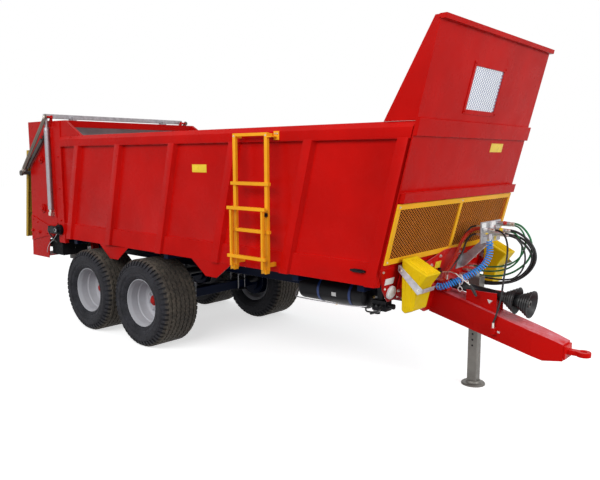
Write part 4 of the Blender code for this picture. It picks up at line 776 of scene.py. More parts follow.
def wheels():
    tyre, rim, cap, drum = tyre_fine_mesh(), rim_fine_mesh(), hub_cap_mesh(), drum_mesh()
    for end, x in WHEEL_AT.items():
        for side, side_name in SIDES:
            place = Matrix.Translation(at(x, side * WHEEL_Y, TYRE_RADIUS)) @ outward(side)
            name = f"{end}_{side_name}"
            body = f"wheel_{name}"
            add_piece(f"tyre_fine_{name}", tyre, "tyre", body, place, smooth=30, replaces=f"tyre_{name}")
            add_piece(f"rim_fine_{name}", rim, "silver", body, place, replaces=f"rim_{name}")
            add_piece(f"hub_cap_{name}", cap, "hub_red", body, place)
            add_piece(f"brake_drum_{name}", drum, "navy", body, place)


# Front: grille and window meshes

def expanded_mesh(bm, y, z, pitch, bar, out):
    """Diamonds of flat bars on the front plane, out metres in front of it."""
    columns, rows = (round((span[1] - span[0]) / step) for span, step in zip((y, z), pitch))
    step_y, step_z = (y[1] - y[0]) / columns, (z[1] - z[0]) / rows
    normal = Vector((1, 0, -LEAN)).normalized()

    def strand(*ends):
        a, b = (on_front(*end, out) for end in ends)
        across = (b - a).normalized().cross(normal).normalized() * bar[0] / 2
        deep = normal * bar[1] / 2
        corners = ((-1, -1), (1, -1), (1, 1), (-1, 1))
        band(bm, *([bm.verts.new(p + s * across + t * deep) for s, t in corners] for p in (a, b)))

    for i in range(columns):
        for j in range(rows):
            left, low = y[0] + i * step_y, z[0] + j * step_z
            middle, centre = left + step_y / 2, low + step_z / 2
            strand((left, centre), (middle, low))
            strand((middle, low), (left + step_y, centre))
            strand((left + step_y, centre), (middle, low + step_z))
            strand((middle, low + step_z), (left, centre))


GRILLE_HALF, GRILLE_Z, GRILLE_BAR, GRILLE_T = 1.16, (1.41, 1.945), 0.05, 0.02
MESH_LAP = 0.01  # how far the mesh runs in behind its frame


def grille():
    half, (low, high), width = GRILLE_HALF, GRILLE_Z, GRILLE_BAR
    bm = bmesh.new()
    for z in (low, high - width):
        front_block(bm, (0.0005, GRILLE_T), (-half, half), (z, z + width))
    for y in (-half, -width / 2, half - width):
        front_block(bm, (0.0005, GRILLE_T - 0.001), (y, y + width), (low + width, high - width))
    add_piece("grille_frame", bm, "grille_yellow", edge=0.0035, replaces="grille")
    bm = bmesh.new()
    for inner, outer in ((-half + width, -width / 2), (width / 2, half - width)):
        z = (low + width - MESH_LAP, high - width + MESH_LAP)
        expanded_mesh(bm, (inner - MESH_LAP, outer + MESH_LAP), z, (0.045, 0.030), (0.0046, 0.003), 0.008)
    add_piece("grille_mesh", bm, "grille_strand", smooth=0)
    # A near-black sheet just behind the mesh: painted shade that darkens the grille's holes.
    bm = bmesh.new()
    front_block(bm, (-0.0165, -0.0125), (-1.10, 1.10), (1.43, 1.93))
    add_piece("grille_shade_sheet", bm, "shade_sheet")
    edge = width / 2
    spots = [(y, z) for y in (-half + edge, half - edge, 0) for z in (low + edge, high - edge)]
    places = [on_front(y, z, GRILLE_T) for y, z in spots]
    bolts("grille_bolts", places, FORWARD, size=0.008, height=0.007)


WINDOW_Y, WINDOW_Z, WINDOW_FRAME = (-0.386, 0.20), (2.76, 3.13), 0.04
BOARD_HALF, BOARD_Z, BOARD_T = 1.165, (2.6503, 3.41), 0.012
FLANGE = (-0.02, 0.045)  # how far the folded top edge reaches behind and in front of the sheet
WING_LOW, WING_REAR, WING_GAP = 2.6353, 4.10, 0.0123


def around_window(edge):
    """Four rectangles from the window out to the edge, which is its left, right, low and high."""
    (y0, y1), (z0, z1) = WINDOW_Y, WINDOW_Z
    left, right, low, high = edge
    return (
        ((left, y0), (low, high)), ((y1, right), (low, high)),
        ((y0, y1), (low, z0)), ((y0, y1), (z1, high)),
    )


def headboard():
    """The headboard sheet with its folded top edge, round the window's frame and its mesh."""
    (y0, y1), (z0, z1) = WINDOW_Y, WINDOW_Z
    half, (low, high) = BOARD_HALF, BOARD_Z
    bm = bmesh.new()
    for y, z in around_window((-half, half, low, high)):
        front_block(bm, (-BOARD_T, 0.0), y, z)
    top = high + 0.028
    front_block(bm, FLANGE, (-half, half), (high - BOARD_T, top))
    bmesh.ops.remove_doubles(bm, verts=bm.verts, dist=MESH_GAP)
    wing = [(WING_REAR, WING_LOW), (front_x(WING_LOW) - WING_GAP, WING_LOW),
            (front_x(high) - WING_GAP / 2, top), (front_x(high) - 0.06, top)]
    for side, _ in SIDES:
        slab(bm, wing, side * (half - 0.030), side * (half - 0.018))
    add_piece("headboard_fine", bm, "shaded_front_red", replaces="headboard", edge=0.0015)
    bm = bmesh.new()
    edge = WINDOW_FRAME
    for y, z in around_window((y0 - edge, y1 + edge, z0 - edge, z1 + edge)):
        front_block(bm, (0.0002, 0.006), y, z)
    add_piece("window_frame", bm, "shaded_front_red", edge=0.001)
    bm = bmesh.new()
    expanded_mesh(bm, (y0 - MESH_LAP, y1 + MESH_LAP), (z0 - MESH_LAP, z1 + MESH_LAP),
                  (0.048, 0.030), (0.0062, 0.002), -0.002)
    add_piece("window_mesh", bm, "pale_mesh", smooth=0)
    edge = WINDOW_FRAME / 2
    places = [on_front(y, z, 0.006) for y in (y0 - edge, y1 + edge) for z in (z0 - edge, z1 + edge)]
    bolts("window_bolts", places, FORWARD, "shaded_front_red", size=0.007, height=0.006)


# Hoses and their ends

HOSE_STEP = 0.06
HOSES = {  # finish, diameter, and the points that the run passes through
    "hose_upper": ("rubber", 0.018, (
        (4.3597, 0.25, 1.65), (4.31, 0.25, 1.65), (4.255, 0.24, 1.635), (4.218, 0.21, 1.58),
        (4.208, 0.15, 1.50), (4.208, 0.08, 1.42), (4.20, 0.02, 1.345), (4.182, -0.03, 1.28),
        (4.16, -0.065, 1.215), (4.15, -0.08, 1.1453))),
    "hose_lower": ("rubber", 0.018, (
        (4.3997, 0.17, 1.58), (4.35, 0.17, 1.58), (4.295, 0.155, 1.56), (4.265, 0.12, 1.50),
        (4.26, 0.07, 1.42), (4.25, 0.01, 1.355), (4.228, -0.053, 1.29), (4.20, -0.102, 1.222),
        (4.19, -0.12, 1.1453))),
    "hose_far": ("rubber", 0.024, (
        (4.5803, 0.33, 1.62), (4.64, 0.33, 1.625), (4.75, 0.33, 1.58), (4.85, 0.33, 1.49),
        (4.885, 0.335, 1.39), (4.86, 0.35, 1.29), (4.78, 0.37, 1.19), (4.66, 0.38, 1.11),
        (4.52, 0.38, 1.07), (4.38, 0.38, 1.06), (4.25, 0.38, 1.08), (4.1503, 0.38, 1.09))),
    "hose_green": ("green", 0.020, (
        (4.5803, 0.42, 1.68), (4.64, 0.42, 1.685), (4.72, 0.415, 1.645), (4.79, 0.41, 1.56),
        (4.815, 0.41, 1.46), (4.79, 0.42, 1.35), (4.72, 0.425, 1.26), (4.61, 0.43, 1.18),
        (4.48, 0.43, 1.135), (4.34, 0.43, 1.12), (4.24, 0.43, 1.13), (4.1503, 0.43, 1.14))),
    "air_coil": ("blue", 0.070, (
        (4.52, 0.10, 1.5447), (4.525, 0.10, 1.48), (4.53, 0.08, 1.40), (4.515, 0.04, 1.325),
        (4.47, -0.005, 1.262), (4.405, -0.06, 1.21), (4.33, -0.12, 1.16), (4.255, -0.175, 1.115),
        (4.19, -0.21, 1.09), (4.1203, -0.215, 1.085))),
    "hose_drop": ("rubber", 0.018, (
        (4.5203, 0.10, 1.64), (4.58, 0.095, 1.645), (4.67, 0.06, 1.615), (4.74, -0.01, 1.54),
        (4.775, -0.08, 1.44), (4.78, -0.125, 1.32), (4.775, -0.148, 1.18), (4.762, -0.155, 1.04),
        (4.735, -0.155, 0.92), (4.707, -0.153, 0.82), (4.697, -0.152, 0.7503))),
}
MORE_HOSES = {  # those beside them that have no solid of their own in the model
    "green_loop_outer": ("green", 0.017, (
        (4.56, 0.475, 1.655), (4.60, 0.475, 1.66), (4.665, 0.475, 1.63), (4.715, 0.475, 1.555),
        (4.725, 0.475, 1.46), (4.695, 0.475, 1.37), (4.635, 0.472, 1.30), (4.55, 0.468, 1.25),
        (4.44, 0.463, 1.22), (4.32, 0.46, 1.21), (4.22, 0.46, 1.205), (4.145, 0.46, 1.205))),
    "green_loop_inner": ("green", 0.017, (
        (4.56, 0.385, 1.60), (4.60, 0.387, 1.605), (4.665, 0.392, 1.575), (4.71, 0.40, 1.505),
        (4.72, 0.405, 1.42), (4.695, 0.41, 1.335), (4.64, 0.405, 1.265), (4.56, 0.40, 1.215),
        (4.45, 0.395, 1.185), (4.33, 0.393, 1.175), (4.23, 0.392, 1.17), (4.145, 0.392, 1.17))),
    "black_loop": ("rubber", 0.017, (
        (4.56, 0.24, 1.60), (4.605, 0.24, 1.605), (4.70, 0.245, 1.575), (4.775, 0.25, 1.50),
        (4.81, 0.255, 1.41), (4.805, 0.265, 1.31), (4.76, 0.285, 1.22), (4.68, 0.315, 1.15),
        (4.57, 0.34, 1.12), (4.44, 0.35, 1.115), (4.30, 0.35, 1.12), (4.145, 0.35, 1.125))),
    "black_bundle_near": ("rubber", 0.022, (
        (4.56, 0.34, 1.565), (4.61, 0.342, 1.565), (4.71, 0.345, 1.535), (4.80, 0.345, 1.46),
        (4.845, 0.348, 1.375), (4.825, 0.352, 1.285), (4.755, 0.352, 1.19), (4.65, 0.350, 1.115),
        (4.52, 0.348, 1.07), (4.38, 0.348, 1.055), (4.25, 0.348, 1.062), (4.145, 0.348, 1.068))),
    "black_bundle_far": ("rubber", 0.022, (
        (4.56, 0.445, 1.56), (4.61, 0.44, 1.56), (4.71, 0.40, 1.545), (4.80, 0.37, 1.49),
        (4.855, 0.366, 1.40), (4.845, 0.38, 1.30), (4.775, 0.405, 1.20), (4.66, 0.416, 1.115),
        (4.52, 0.418, 1.075), (4.38, 0.42, 1.062), (4.25, 0.422, 1.075), (4.145, 0.424, 1.09))),
    "red_air_coil": ("red_hose", 0.036, (
        (4.4395, 0.30, 1.60), (4.40, 0.295, 1.605), (4.36, 0.25, 1.625), (4.325, 0.17, 1.625),
        (4.30, 0.08, 1.59), (4.275, 0.01, 1.52), (4.255, -0.035, 1.43), (4.235, -0.07, 1.34),
        (4.205, -0.115, 1.25), (4.165, -0.15, 1.18), (4.12, -0.165, 1.145))),
}
COIL_TURNS, COIL_WIRE = 33, 0.0058  # of the blue air coil
RED_COIL_TURNS, RED_COIL_WIRE = 66, 0.00348
FERRULE = (
    (0.0, 0.0), (1.0, 0.0), (1.05, 0.002), (1.05, 0.011), (1.0, 0.013), (0.80, 0.014), (0.80, 0.018),
    (0.96, 0.019), (0.98, 0.046), (0.92, 0.050), (0.60, 0.051), (0.0, 0.051),
)


def coil_points(run, radius, turns):
    """A helix round the run, with straight tails at its ends."""
    fine = smooth_run(run, 0.004, ends=False)
    count = len(fine) - 1
    heading = (fine[1] - fine[0]).normalized()
    across = heading.orthogonal().normalized()
    points = []
    steps = turns * 20
    for i in range(steps + 1):
        share = i / steps
        spot = share * count
        k = min(int(spot), count - 1)
        middle = fine[k].lerp(fine[k + 1], spot - k)
        ahead = (fine[k + 1] - fine[k]).normalized()
        across = (heading.rotation_difference(ahead) @ across).normalized()
        heading = ahead
        angle = math.tau * turns * share
        tight = min(1.0, share * turns, (1 - share) * turns)
        out = math.cos(angle) * across + math.sin(angle) * ahead.cross(across)
        points.append(middle + radius * tight * out)
    return points


def hoses():
    """Every hose is a cord from end to end, with a ferrule at each end."""
    coils = {"air_coil": (COIL_TURNS, COIL_WIRE), "red_air_coil": (RED_COIL_TURNS, RED_COIL_WIRE)}
    fittings = bmesh.new()
    for name, (finish, diameter, points) in (HOSES | MORE_HOSES).items():
        run = smooth_run([at(*point) for point in points], min(2.8 * diameter, HOSE_STEP))
        bm = bmesh.new()
        if name in coils:
            turns, wire = coils[name]
            tube(bm, coil_points(run, diameter / 2 - wire, turns), wire, 8)
        else:
            tube(bm, smooth_run(run, 0.014, ends=False), diameter / 2, 14)
        piece = add_piece(f"{name}_fine", bm, finish, replaces=name if name in HOSES else None)
        width = 0.012 if name in coils else diameter / 2 + 0.003
        for end, inner in ((0, 1), (-1, -2)):
            place = standing(run[end], run[inner] - run[end])
            lathe(fittings, [(r * width, z) for r, z in FERRULE], 14, place=place)
    weld(fittings, 1e-6)
    add_piece("hose_ferrules", fittings, "zinc")


HEADSTOCK_FACE = 0.036  # from the front plane to the headstock plate's face
RACK_BACK, RACK_FACE = 4.4395, 4.4523
COUPLINGS = (  # y, z, front end, radius, cap finish
    (0.25, 1.65, 4.52, 0.020, "blank"), (0.17, 1.58, 4.50, 0.017, "yellow_cap"),
    (0.10, 1.64, 4.52, 0.015, "blank"), (0.33, 1.62, 4.58, 0.017, "yellow_cap"),
    (0.42, 1.68, 4.58, 0.017, "red_cap"),
)
CAP = (
    (0.0, 0.0), (1.10, 0.0), (1.20, 0.004), (1.20, 0.016), (1.05, 0.019), (1.05, 0.034), (0.95, 0.038),
    (0.0, 0.038),
)
CAP_BACK = 0.062  # from a coupling's front end back to its cap
RACK_NUTS = (
    (0.30, 1.56, 0.012), (0.38, 1.56, 0.012), (0.10, 1.685, 0.006), (0.21, 1.685, 0.006),
    (0.44, 1.62, 0.006),
)

RACK_BLOCKS = (
    ((RACK_FACE, 4.458), (0.055, 0.15), (1.655, 1.70)), ((RACK_FACE, 4.475), (0.245, 0.33), (1.67, 1.705)),
)
RACK_CAPS = (
    ((RACK_FACE, 4.456), (0.20, 0.27), (1.505, 1.545)), ((RACK_FACE, 4.456), (0.345, 0.40), (1.505, 1.55)),
)


def rack():
    """The rack with its couplings, and stubs for the ends of the hoses that have no solid."""
    rounded("hose_rack", 0.0015)
    for i, (y, z, front, radius, finish) in enumerate(COUPLINGS):
        place = Matrix.Translation(at(front - CAP_BACK, y, z)) @ AHEAD
        turned_piece(f"coupling_cap_{i}", [(r * radius, h) for r, h in CAP], place, finish, segments=24)
    bm = bmesh.new()
    for y, z, size in RACK_NUTS:
        hex_nut(bm, at(4.4525, y, z), size, size * 0.9, AHEAD)
    add_piece("rack_bolts", bm, "zinc")
    blocks("rack_blocks", "blank", RACK_BLOCKS, 0.003)
    bm = bmesh.new()
    ends = [(points[0], points[-1]) for name, (_, _, points) in MORE_HOSES.items() if "coil" not in name]
    for (x, y, z), _ in ends:
        rod(bm, (4.4515, y, z), (x + 0.001, y, z), 0.013, 6)
    rod(bm, (RACK_BACK, 0.30, 1.60), (RACK_BACK + 0.001, 0.30, 1.60), 0.016)
    for _, (x, y, z) in ends:
        tube(bm, [on_front(y, z, HEADSTOCK_FACE) - Vector((0.002, 0, 0)), at(x + 0.001, y, z)], 0.013, 6)
    tube(bm, [on_front(-0.165, 1.145, HEADSTOCK_FACE - 0.002), at(4.121, -0.165, 1.145)], 0.015, 6)
    add_piece("hose_stubs", bm, "zinc")
    blocks("rack_caps", "yellow_cap", RACK_CAPS, 0.0012)


# Drive shaft, drawbar and jack

PTO_REAR, PTO_FRONT = Vector((4.09, 0.0, 1.10)), Vector((5.0, 0.0, 0.99))
PTO_HUB = (
    (0.0, 0.8305), (0.052, 0.8305), (0.052, 0.845), (0.036, 0.850), (0.036, 0.892), (0.030, 0.897),
    (0.021, 0.897), (0.021, 0.86), (0.0, 0.86),
)


def ribbed(start, end, ribs, depth):
    """A cone from one (radius, height) to another with round ribs on it."""
    (r0, z0), (r1, z1) = start, end
    points = []
    for i in range(ribs * 4 + 1):
        share = i / (ribs * 4)
        swell = depth * (0.5 - 0.5 * math.cos(math.tau * ribs * share))
        points.append((r0 + (r1 - r0) * share - swell, z0 + (z1 - z0) * share))
    return points


def pto():
    place = standing(at(*PTO_REAR), (PTO_FRONT - PTO_REAR).normalized())
    sleeve = [(0.0, 0.075), (0.044, 0.075), (0.045, 0.30), (0.0435, 0.302), (0.0435, 0.46), (0.045, 0.462),
              (0.045, 0.60), (0.049, 0.604), (0.049, 0.640)]
    inner_cone = ribbed((0.050, 0.640), (0.130, 0.772), 5, 0.009)
    waist = [(0.130, 0.775), (0.124, 0.775), (0.070, 0.700), (0.060, 0.700), (0.060, 0.795)]
    outer_cone = ribbed((0.072, 0.800), (0.130, 0.902), 4, 0.008)
    mouth = [(0.130, 0.915), (0.125, 0.915), (0.066, 0.830), (0.0, 0.830)]
    profile = sleeve + inner_cone + waist + outer_cone + mouth
    turned_piece("pto_guard", profile, place, "guard", segments=40, replaces="pto_shaft", smooth=50)
    turned_piece("pto_hub", PTO_HUB, place, "steel")


HEADSTOCK_BOLTS = (
    (0.62, 1.11), (0.62, 1.28), (0.52, 1.11), (0.34, 1.31), (0.86, 1.14), (0.86, 1.30), (0.20, 1.385),
)
CRANK_BEND = (4.335, -0.222, 1.235)


def drawbar():
    rounded("drawbar", 0.0025)
    rounded("towing_eye", 0.004)
    places = [on_front(side * y, z, HEADSTOCK_FACE) for side, _ in SIDES for y, z in HEADSTOCK_BOLTS]
    bolts("headstock_bolts", places, FORWARD, size=0.013, height=0.013)
    base = HEADSTOCK_FACE + 0.0002
    bm = bmesh.new()
    front_block(bm, (base, HEADSTOCK_FACE + 0.003), (-0.262, -0.155), (1.262, 1.332))
    add_piece("type_plate", bm, "yellow_cap", edge=0.001)
    bm = bmesh.new()
    front_block(bm, (base, HEADSTOCK_FACE + 0.05), (-0.36, -0.29), (1.215, 1.262))
    front_block(bm, (base, HEADSTOCK_FACE + 0.035), (-0.205, -0.15), (1.20, 1.235))
    for y, z, reach in ((-0.325, 1.27, 0.04), (-0.27, 1.215, 0.06), (-0.175, 1.25, 0.03)):
        spot = on_front(y, z, HEADSTOCK_FACE)
        tube(bm, [spot, spot + Vector((reach, 0, 0.004))], 0.011)
    add_piece("headstock_valve", bm, "black", edge=0.003)
    bm = bmesh.new()
    slab(bm, [(4.598, 0.998), (4.652, 0.990), (4.618, 0.958)], -0.0835, -0.0803)
    slab(bm, [(4.728, 0.722), (4.752, 0.718), (4.752, 0.700), (4.728, 0.704)], -0.1285, -0.1252)
    add_piece("white_marks", bm, "blank", edge=0.0006)


def crank():
    """The crank that hangs by the coil, its grip, and the clip round the coil with its ring."""
    bm = bmesh.new()
    line(bm, (CRANK_BEND, (4.38, -0.21, 1.20), (4.43, -0.193, 1.163), (4.47, -0.178, 1.13)), 0.01, 0.0055)
    tube(bm, [at(4.19, -0.205, 1.23), at(4.27, -0.215, 1.245), at(*CRANK_BEND)], 0.0055, 10)
    add_piece("crank_rod", bm, "zinc")
    bm = bmesh.new()
    grip = ((4.466, -0.179, 1.134), (4.485, -0.172, 1.10), (4.516, -0.163, 1.045), (4.524, -0.16, 1.03))
    tube(bm, [at(*place) for place in grip], [0.009, 0.015, 0.014, 0.011], 14)
    add_piece("crank_grip", bm, "guard")
    bm = bmesh.new()
    round_once = [(math.cos(math.tau * i / 20), math.sin(math.tau * i / 20)) for i in range(21)]
    for lift in (-0.006, 0.006):
        around = [Vector((0.042 * c, -0.035 * c, 0.044 * s + lift)) for c, s in round_once]
        tube(bm, [at(4.335, -0.118, 1.162) + spot for spot in around], 0.004, 8)
    hanging = [Vector((0.022 * c, 0.0, 0.022 * s)) for c, s in round_once]
    tube(bm, [at(4.352, -0.155, 1.075) + spot for spot in hanging], 0.0045, 8)
    rod(bm, (4.340, -0.152, 1.128), (4.352, -0.155, 1.095), 0.005, 8)
    add_piece("coil_clip", bm, "blank")


JACK_X, JACK_Y = 4.32, 0.27
JACK_FOOT = (
    (0.0, 0.0), (0.122, 0.0), (0.122, 0.012), (0.114, 0.020), (0.080, 0.024), (0.072, 0.045),
    (0.0, 0.045),
)
JACK_HEAD = ((0.0, 1.13), (0.030, 1.13), (0.030, 1.17), (0.022, 1.19), (0.0, 1.19))

JACK_LEG = (  # half width, heights: the sleeve, the inner tube and the sleeve's two bands
    (0.060, (0.66, 1.14)), (0.050, (0.018, 0.70)), (0.064, (0.66, 0.685)), (0.064, (1.115, 1.1405)),
)


def jack():
    bm = bmesh.new()
    for half, z in JACK_LEG:
        block(bm, (JACK_X - half, JACK_X + half), (JACK_Y - half, JACK_Y + half), z)
    add_piece("jack_leg", bm, "jack", edge=0.006, replaces="jack")
    base = Matrix.Translation(at(JACK_X, JACK_Y, 0))
    turned_piece("jack_foot", JACK_FOOT, base, "jack")
    turned_piece("jack_head", JACK_HEAD, base, "grey")
    bm = bmesh.new()
    for z in (0.60, 0.54, 0.48, 0.42):
        rod(bm, (JACK_X, JACK_Y - 0.0515, z), (JACK_X, JACK_Y + 0.0515, z), 0.011, 14)
    add_piece("jack_holes", bm, "black")
    bm = bmesh.new()
    rod(bm, (JACK_X, JACK_Y - 0.085, 0.74), (JACK_X, JACK_Y + 0.085, 0.74), 0.010, 14)
    end = at(JACK_X, JACK_Y + 0.078, 0.74)
    tube(bm, [end, end + Vector((0.005, 0, -0.05)), end + Vector((0.03, 0, -0.07))], 0.003, 8)
    add_piece("jack_pin", bm, "zinc")


# Chocks, corner plates and lamps

CHOCK_TOP = (4.185, 1.455), (4.442, 1.324)  # x and z of the sloping face's ends
CHOCK_SIDE, CHOCK_PIN_FACE = 0.9505, 0.9615
CHOCK_RIBS = (((4.22, 1.40), (4.225, 1.02)), ((4.30, 1.36), (4.268, 1.01)), ((4.37, 1.325), (4.315, 1.10)))
CHOCK_STRAPS = (  # outline, and how far inward the strap reaches
    (((4.155, 1.340), (4.352, 1.150), (4.395, 1.172), (4.402, 1.205), (4.175, 1.392)), 0.957),
    (((4.155, 1.340), (4.175, 1.340), (4.175, 1.392), (4.155, 1.392)), 0.86),
    (((4.392, 1.165), (4.404, 1.2045), (4.399, 1.206), (4.387, 1.167)), 0.74),
)


def chocks():
    (x0, z0), (x1, z1) = CHOCK_TOP
    run = Vector((x1 - x0, 0, z1 - z0))
    up = Vector((-run.z, 0, run.x)).normalized() * 0.001
    for side, name in SIDES:
        rounded(f"chock_{name}", 0.012)
        bm = bmesh.new()
        for i in range(5):
            start = at(x0, side * (0.755 + 0.035 * i), z0) + up
            tube(bm, [start + run * 0.18, start + run * 0.90], 0.006, 8)
        for share in (0.10, 0.95):
            tube(bm, [at(x0, side * y, z0) + run * share + up for y in (0.725, 0.925)], 0.005, 8)
        for (top_x, top_z), (low_x, low_z) in CHOCK_RIBS:
            rod(bm, (top_x, side * CHOCK_SIDE, top_z), (low_x, side * CHOCK_SIDE, low_z), 0.005, 8)
        add_piece(f"chock_ribs_{name}", bm, "chock")
        bm = bmesh.new()
        for outline, inner in CHOCK_STRAPS:
            slab(bm, outline, *between(side, inner, CHOCK_PIN_FACE))
        add_piece(f"chock_strap_{name}", bm, "galvanised", edge=0.002)
        places = [at(x, side * CHOCK_PIN_FACE, z) for x, z in ((4.19, 1.345), (4.36, 1.192))]
        bolts(f"chock_bolts_{name}", places, outward(side), size=0.009, height=0.008)


LAMP_Y, LAMP_Z, CORNER_FACE = 0.945, 1.136, 0.0063
LAMP_BEZEL = (
    (0.0, 0.001), (0.062, 0.001), (0.064, 0.006), (0.062, 0.022), (0.054, 0.028), (0.050, 0.024),
    (0.0, 0.024),
)
LAMP_LENS = ((0.0, 0.020), (0.0495, 0.020), (0.0495, 0.026), (0.040, 0.031), (0.020, 0.0335), (0.0, 0.034))
CORNER_BOLTS = ((1.135, 1.345), (0.78, 1.345), (1.05, 1.18), (0.80, 1.07))


def lamps():
    for side, name in SIDES:
        place = Matrix.Translation(on_front(side * LAMP_Y, LAMP_Z, CORNER_FACE)) @ FORWARD
        turned_piece(f"lamp_bezel_{name}", LAMP_BEZEL, place, "blank", replaces=f"front_lamp_{name}")
        turned_piece(f"lamp_lens_{name}", LAMP_LENS, place, "lens")
        bm = bmesh.new()
        out = (CORNER_FACE + 0.0005, CORNER_FACE + 0.008)
        front_block(bm, out, between(side, 0.94, 1.075), (1.217, 1.276))
        add_piece(f"reflector_{name}", bm, "blank", edge=0.002)
        places = [on_front(side * y, z, CORNER_FACE) for y, z in CORNER_BOLTS]
        bolts(f"corner_bolts_{name}", places, FORWARD, size=0.010, height=0.009)


# Air tank, pipes and valves

TANK_X, TANK_Y, TANK_Z, TANK_HALF, TANK_RADIUS = 3.275, -0.70, 1.0, 0.445, 0.123
TANK_DOME = 0.045
TANK_BEAD = ((0.0, 0.050), (0.0018, 0.054), (0.0018, 0.062), (0.0, 0.066))  # rise, distance from the end
STRAPS_X, HANGERS_X, STRAP_HALF = (3.126, 3.516), (3.05, 3.50), 0.014
LABEL_X, LABEL_TURNS, LABEL_OUT = (3.30, 3.355), (-14, -9.5, -5, -0.5, 4), 0.0008  # turns in degrees


def tank_shell():
    r, half = TANK_RADIUS, TANK_HALF
    turns = [math.pi / 2 * i / 8 for i in range(1, 9)]
    dome = [(r * math.sin(turn), half - TANK_DOME + TANK_DOME * math.cos(turn)) for turn in turns]
    bead = [(r + rise, half - back) for rise, back in TANK_BEAD]
    end = [(0.0, half), *dome, *bead]
    return end + [(a, -b) for a, b in reversed(end)]


def air_tank():
    r, half = TANK_RADIUS, TANK_HALF
    along = Matrix.Rotation(math.pi / 2, 4, "Y")
    place = Matrix.Translation(at(TANK_X, TANK_Y, TANK_Z)) @ along
    turned_piece("air_tank_shell", tank_shell(), place, "black", segments=48, replaces="air_tank")
    bm = bmesh.new()
    inside, outside = r - 0.001, r + 0.003
    strap = [(inside, -STRAP_HALF), (outside, -STRAP_HALF), (outside, STRAP_HALF), (inside, STRAP_HALF)]
    for x in STRAPS_X:
        lathe(bm, strap, 48, closed=True, place=Matrix.Translation(at(x, TANK_Y, TANK_Z)) @ along)
    bmesh.ops.recalc_face_normals(bm, faces=bm.faces)
    add_piece("tank_straps", bm, "strap")
    hangers = []
    top = TANK_Z + r
    for x in HANGERS_X:
        hangers.append(((x - 0.02, x + 0.02), (TANK_Y - 0.03, TANK_Y + 0.03), (top - 0.01, 1.1297)))
        hangers.append(((x - 0.03, x + 0.03), (TANK_Y - 0.06, TANK_Y + 0.06), (top - 0.005, top + 0.006)))
    blocks("tank_hangers", "black", hangers, 0.002)
    bm = bmesh.new()
    rows = []
    for turn in map(math.radians, LABEL_TURNS):
        y, z = TANK_Y - (r + LABEL_OUT) * math.cos(turn), TANK_Z + (r + LABEL_OUT) * math.sin(turn)
        rows.append([bm.verts.new(at(x, y, z)) for x in LABEL_X])
    for here, following in zip(rows, rows[1:]):
        band(bm, here, following, closed=False)
    add_piece("tank_label", bm, "blank", smooth=0)
    bm = bmesh.new()
    bottom = TANK_Z - r
    rod(bm, (TANK_X, TANK_Y, bottom + 0.004), (TANK_X, TANK_Y, bottom - 0.022), 0.010)
    rod(bm, (TANK_X, TANK_Y, bottom - 0.014), (TANK_X, TANK_Y - 0.020, bottom - 0.016), 0.004, 8)
    for end in (-1, 1):
        x = TANK_X + end * half
        rod(bm, (x - end * 0.005, TANK_Y, TANK_Z), (x + end * 0.02, TANK_Y, TANK_Z), 0.014, 6)
    add_piece("tank_fittings", bm, "brass")


RAIL_OUT = -0.5003  # the right chassis rail's outer face
CLAMPS_X, CLAMP_T, CLAMP_Z = (-1.08, 0.0, 0.98, 1.754, 2.375, 3.05), 0.026, (1.045, 1.110)
TANK_LINES = (
    ((TANK_X - TANK_HALF - 0.02, TANK_Y, TANK_Z), (2.78, -0.72, 0.97), (2.80, -0.79, 0.90),
     (2.95, -0.842, 0.90), (3.28, -0.846, 0.905), (3.60, -0.842, 0.915), (3.76, -0.80, 0.93)),
    ((TANK_X + TANK_HALF + 0.02, TANK_Y, TANK_Z), (3.76, -0.71, 1.01), (3.79, -0.73, 1.02)),
)
VALVE_LINES = (
    ((3.89, -0.83, 0.95), (3.90, -0.86, 0.93), (3.86, -0.88, 0.90), (3.80, -0.86, 0.875),
     (3.76, -0.80, 0.87)),
    ((3.79, -0.83, 0.95), (3.74, -0.85, 0.92), (3.73, -0.82, 0.88), (3.78, -0.77, 0.87)),
)
VALVE_POT = (
    (0.0, 0.0), (0.036, 0.0), (0.038, 0.004), (0.038, 0.030), (0.030, 0.038), (0.012, 0.040),
    (0.0, 0.040),
)


def pipes():
    """Rigid lines along the right rail with their clamps, and the lines from tank to valve."""
    bm = bmesh.new()
    y = RAIL_OUT - 0.014
    for z, rear, front in ((1.095, -1.30, 3.70), (1.060, -0.9, 3.76)):
        tube(bm, [at(rear, y, z), at(front, y, z), at(front + 0.04, RAIL_OUT - 0.04, z - 0.03)], 0.0075, 10)
    for run in TANK_LINES:
        line(bm, run, 0.02, 0.0065)
    add_piece("air_lines", bm, "galvanised")
    clamp_y = (RAIL_OUT - CLAMP_T, RAIL_OUT - 0.0002)
    blocks("pipe_clamps", "zinc", [((x - 0.02, x + 0.02), clamp_y, CLAMP_Z) for x in CLAMPS_X], 0.003)
    places = [at(x, RAIL_OUT - CLAMP_T, sum(CLAMP_Z) / 2) for x in CLAMPS_X]
    bolts("clamp_bolts", places, RIGHTWARD, size=0.007, height=0.006)
    rounded("brake_valve", 0.004)
    bm = bmesh.new()
    for x in (3.79, 3.84, 3.89):
        rod(bm, (x, -0.80, 0.95), (x, -0.83, 0.95), 0.013, 8)
    for run in VALVE_LINES:
        line(bm, run, 0.015, 0.008)
    add_piece("valve_lines", bm, "rubber")
    turned_piece("valve_pot", VALVE_POT, standing(at(3.80, -0.75, 0.912), (0, 0, -1)), "grey")


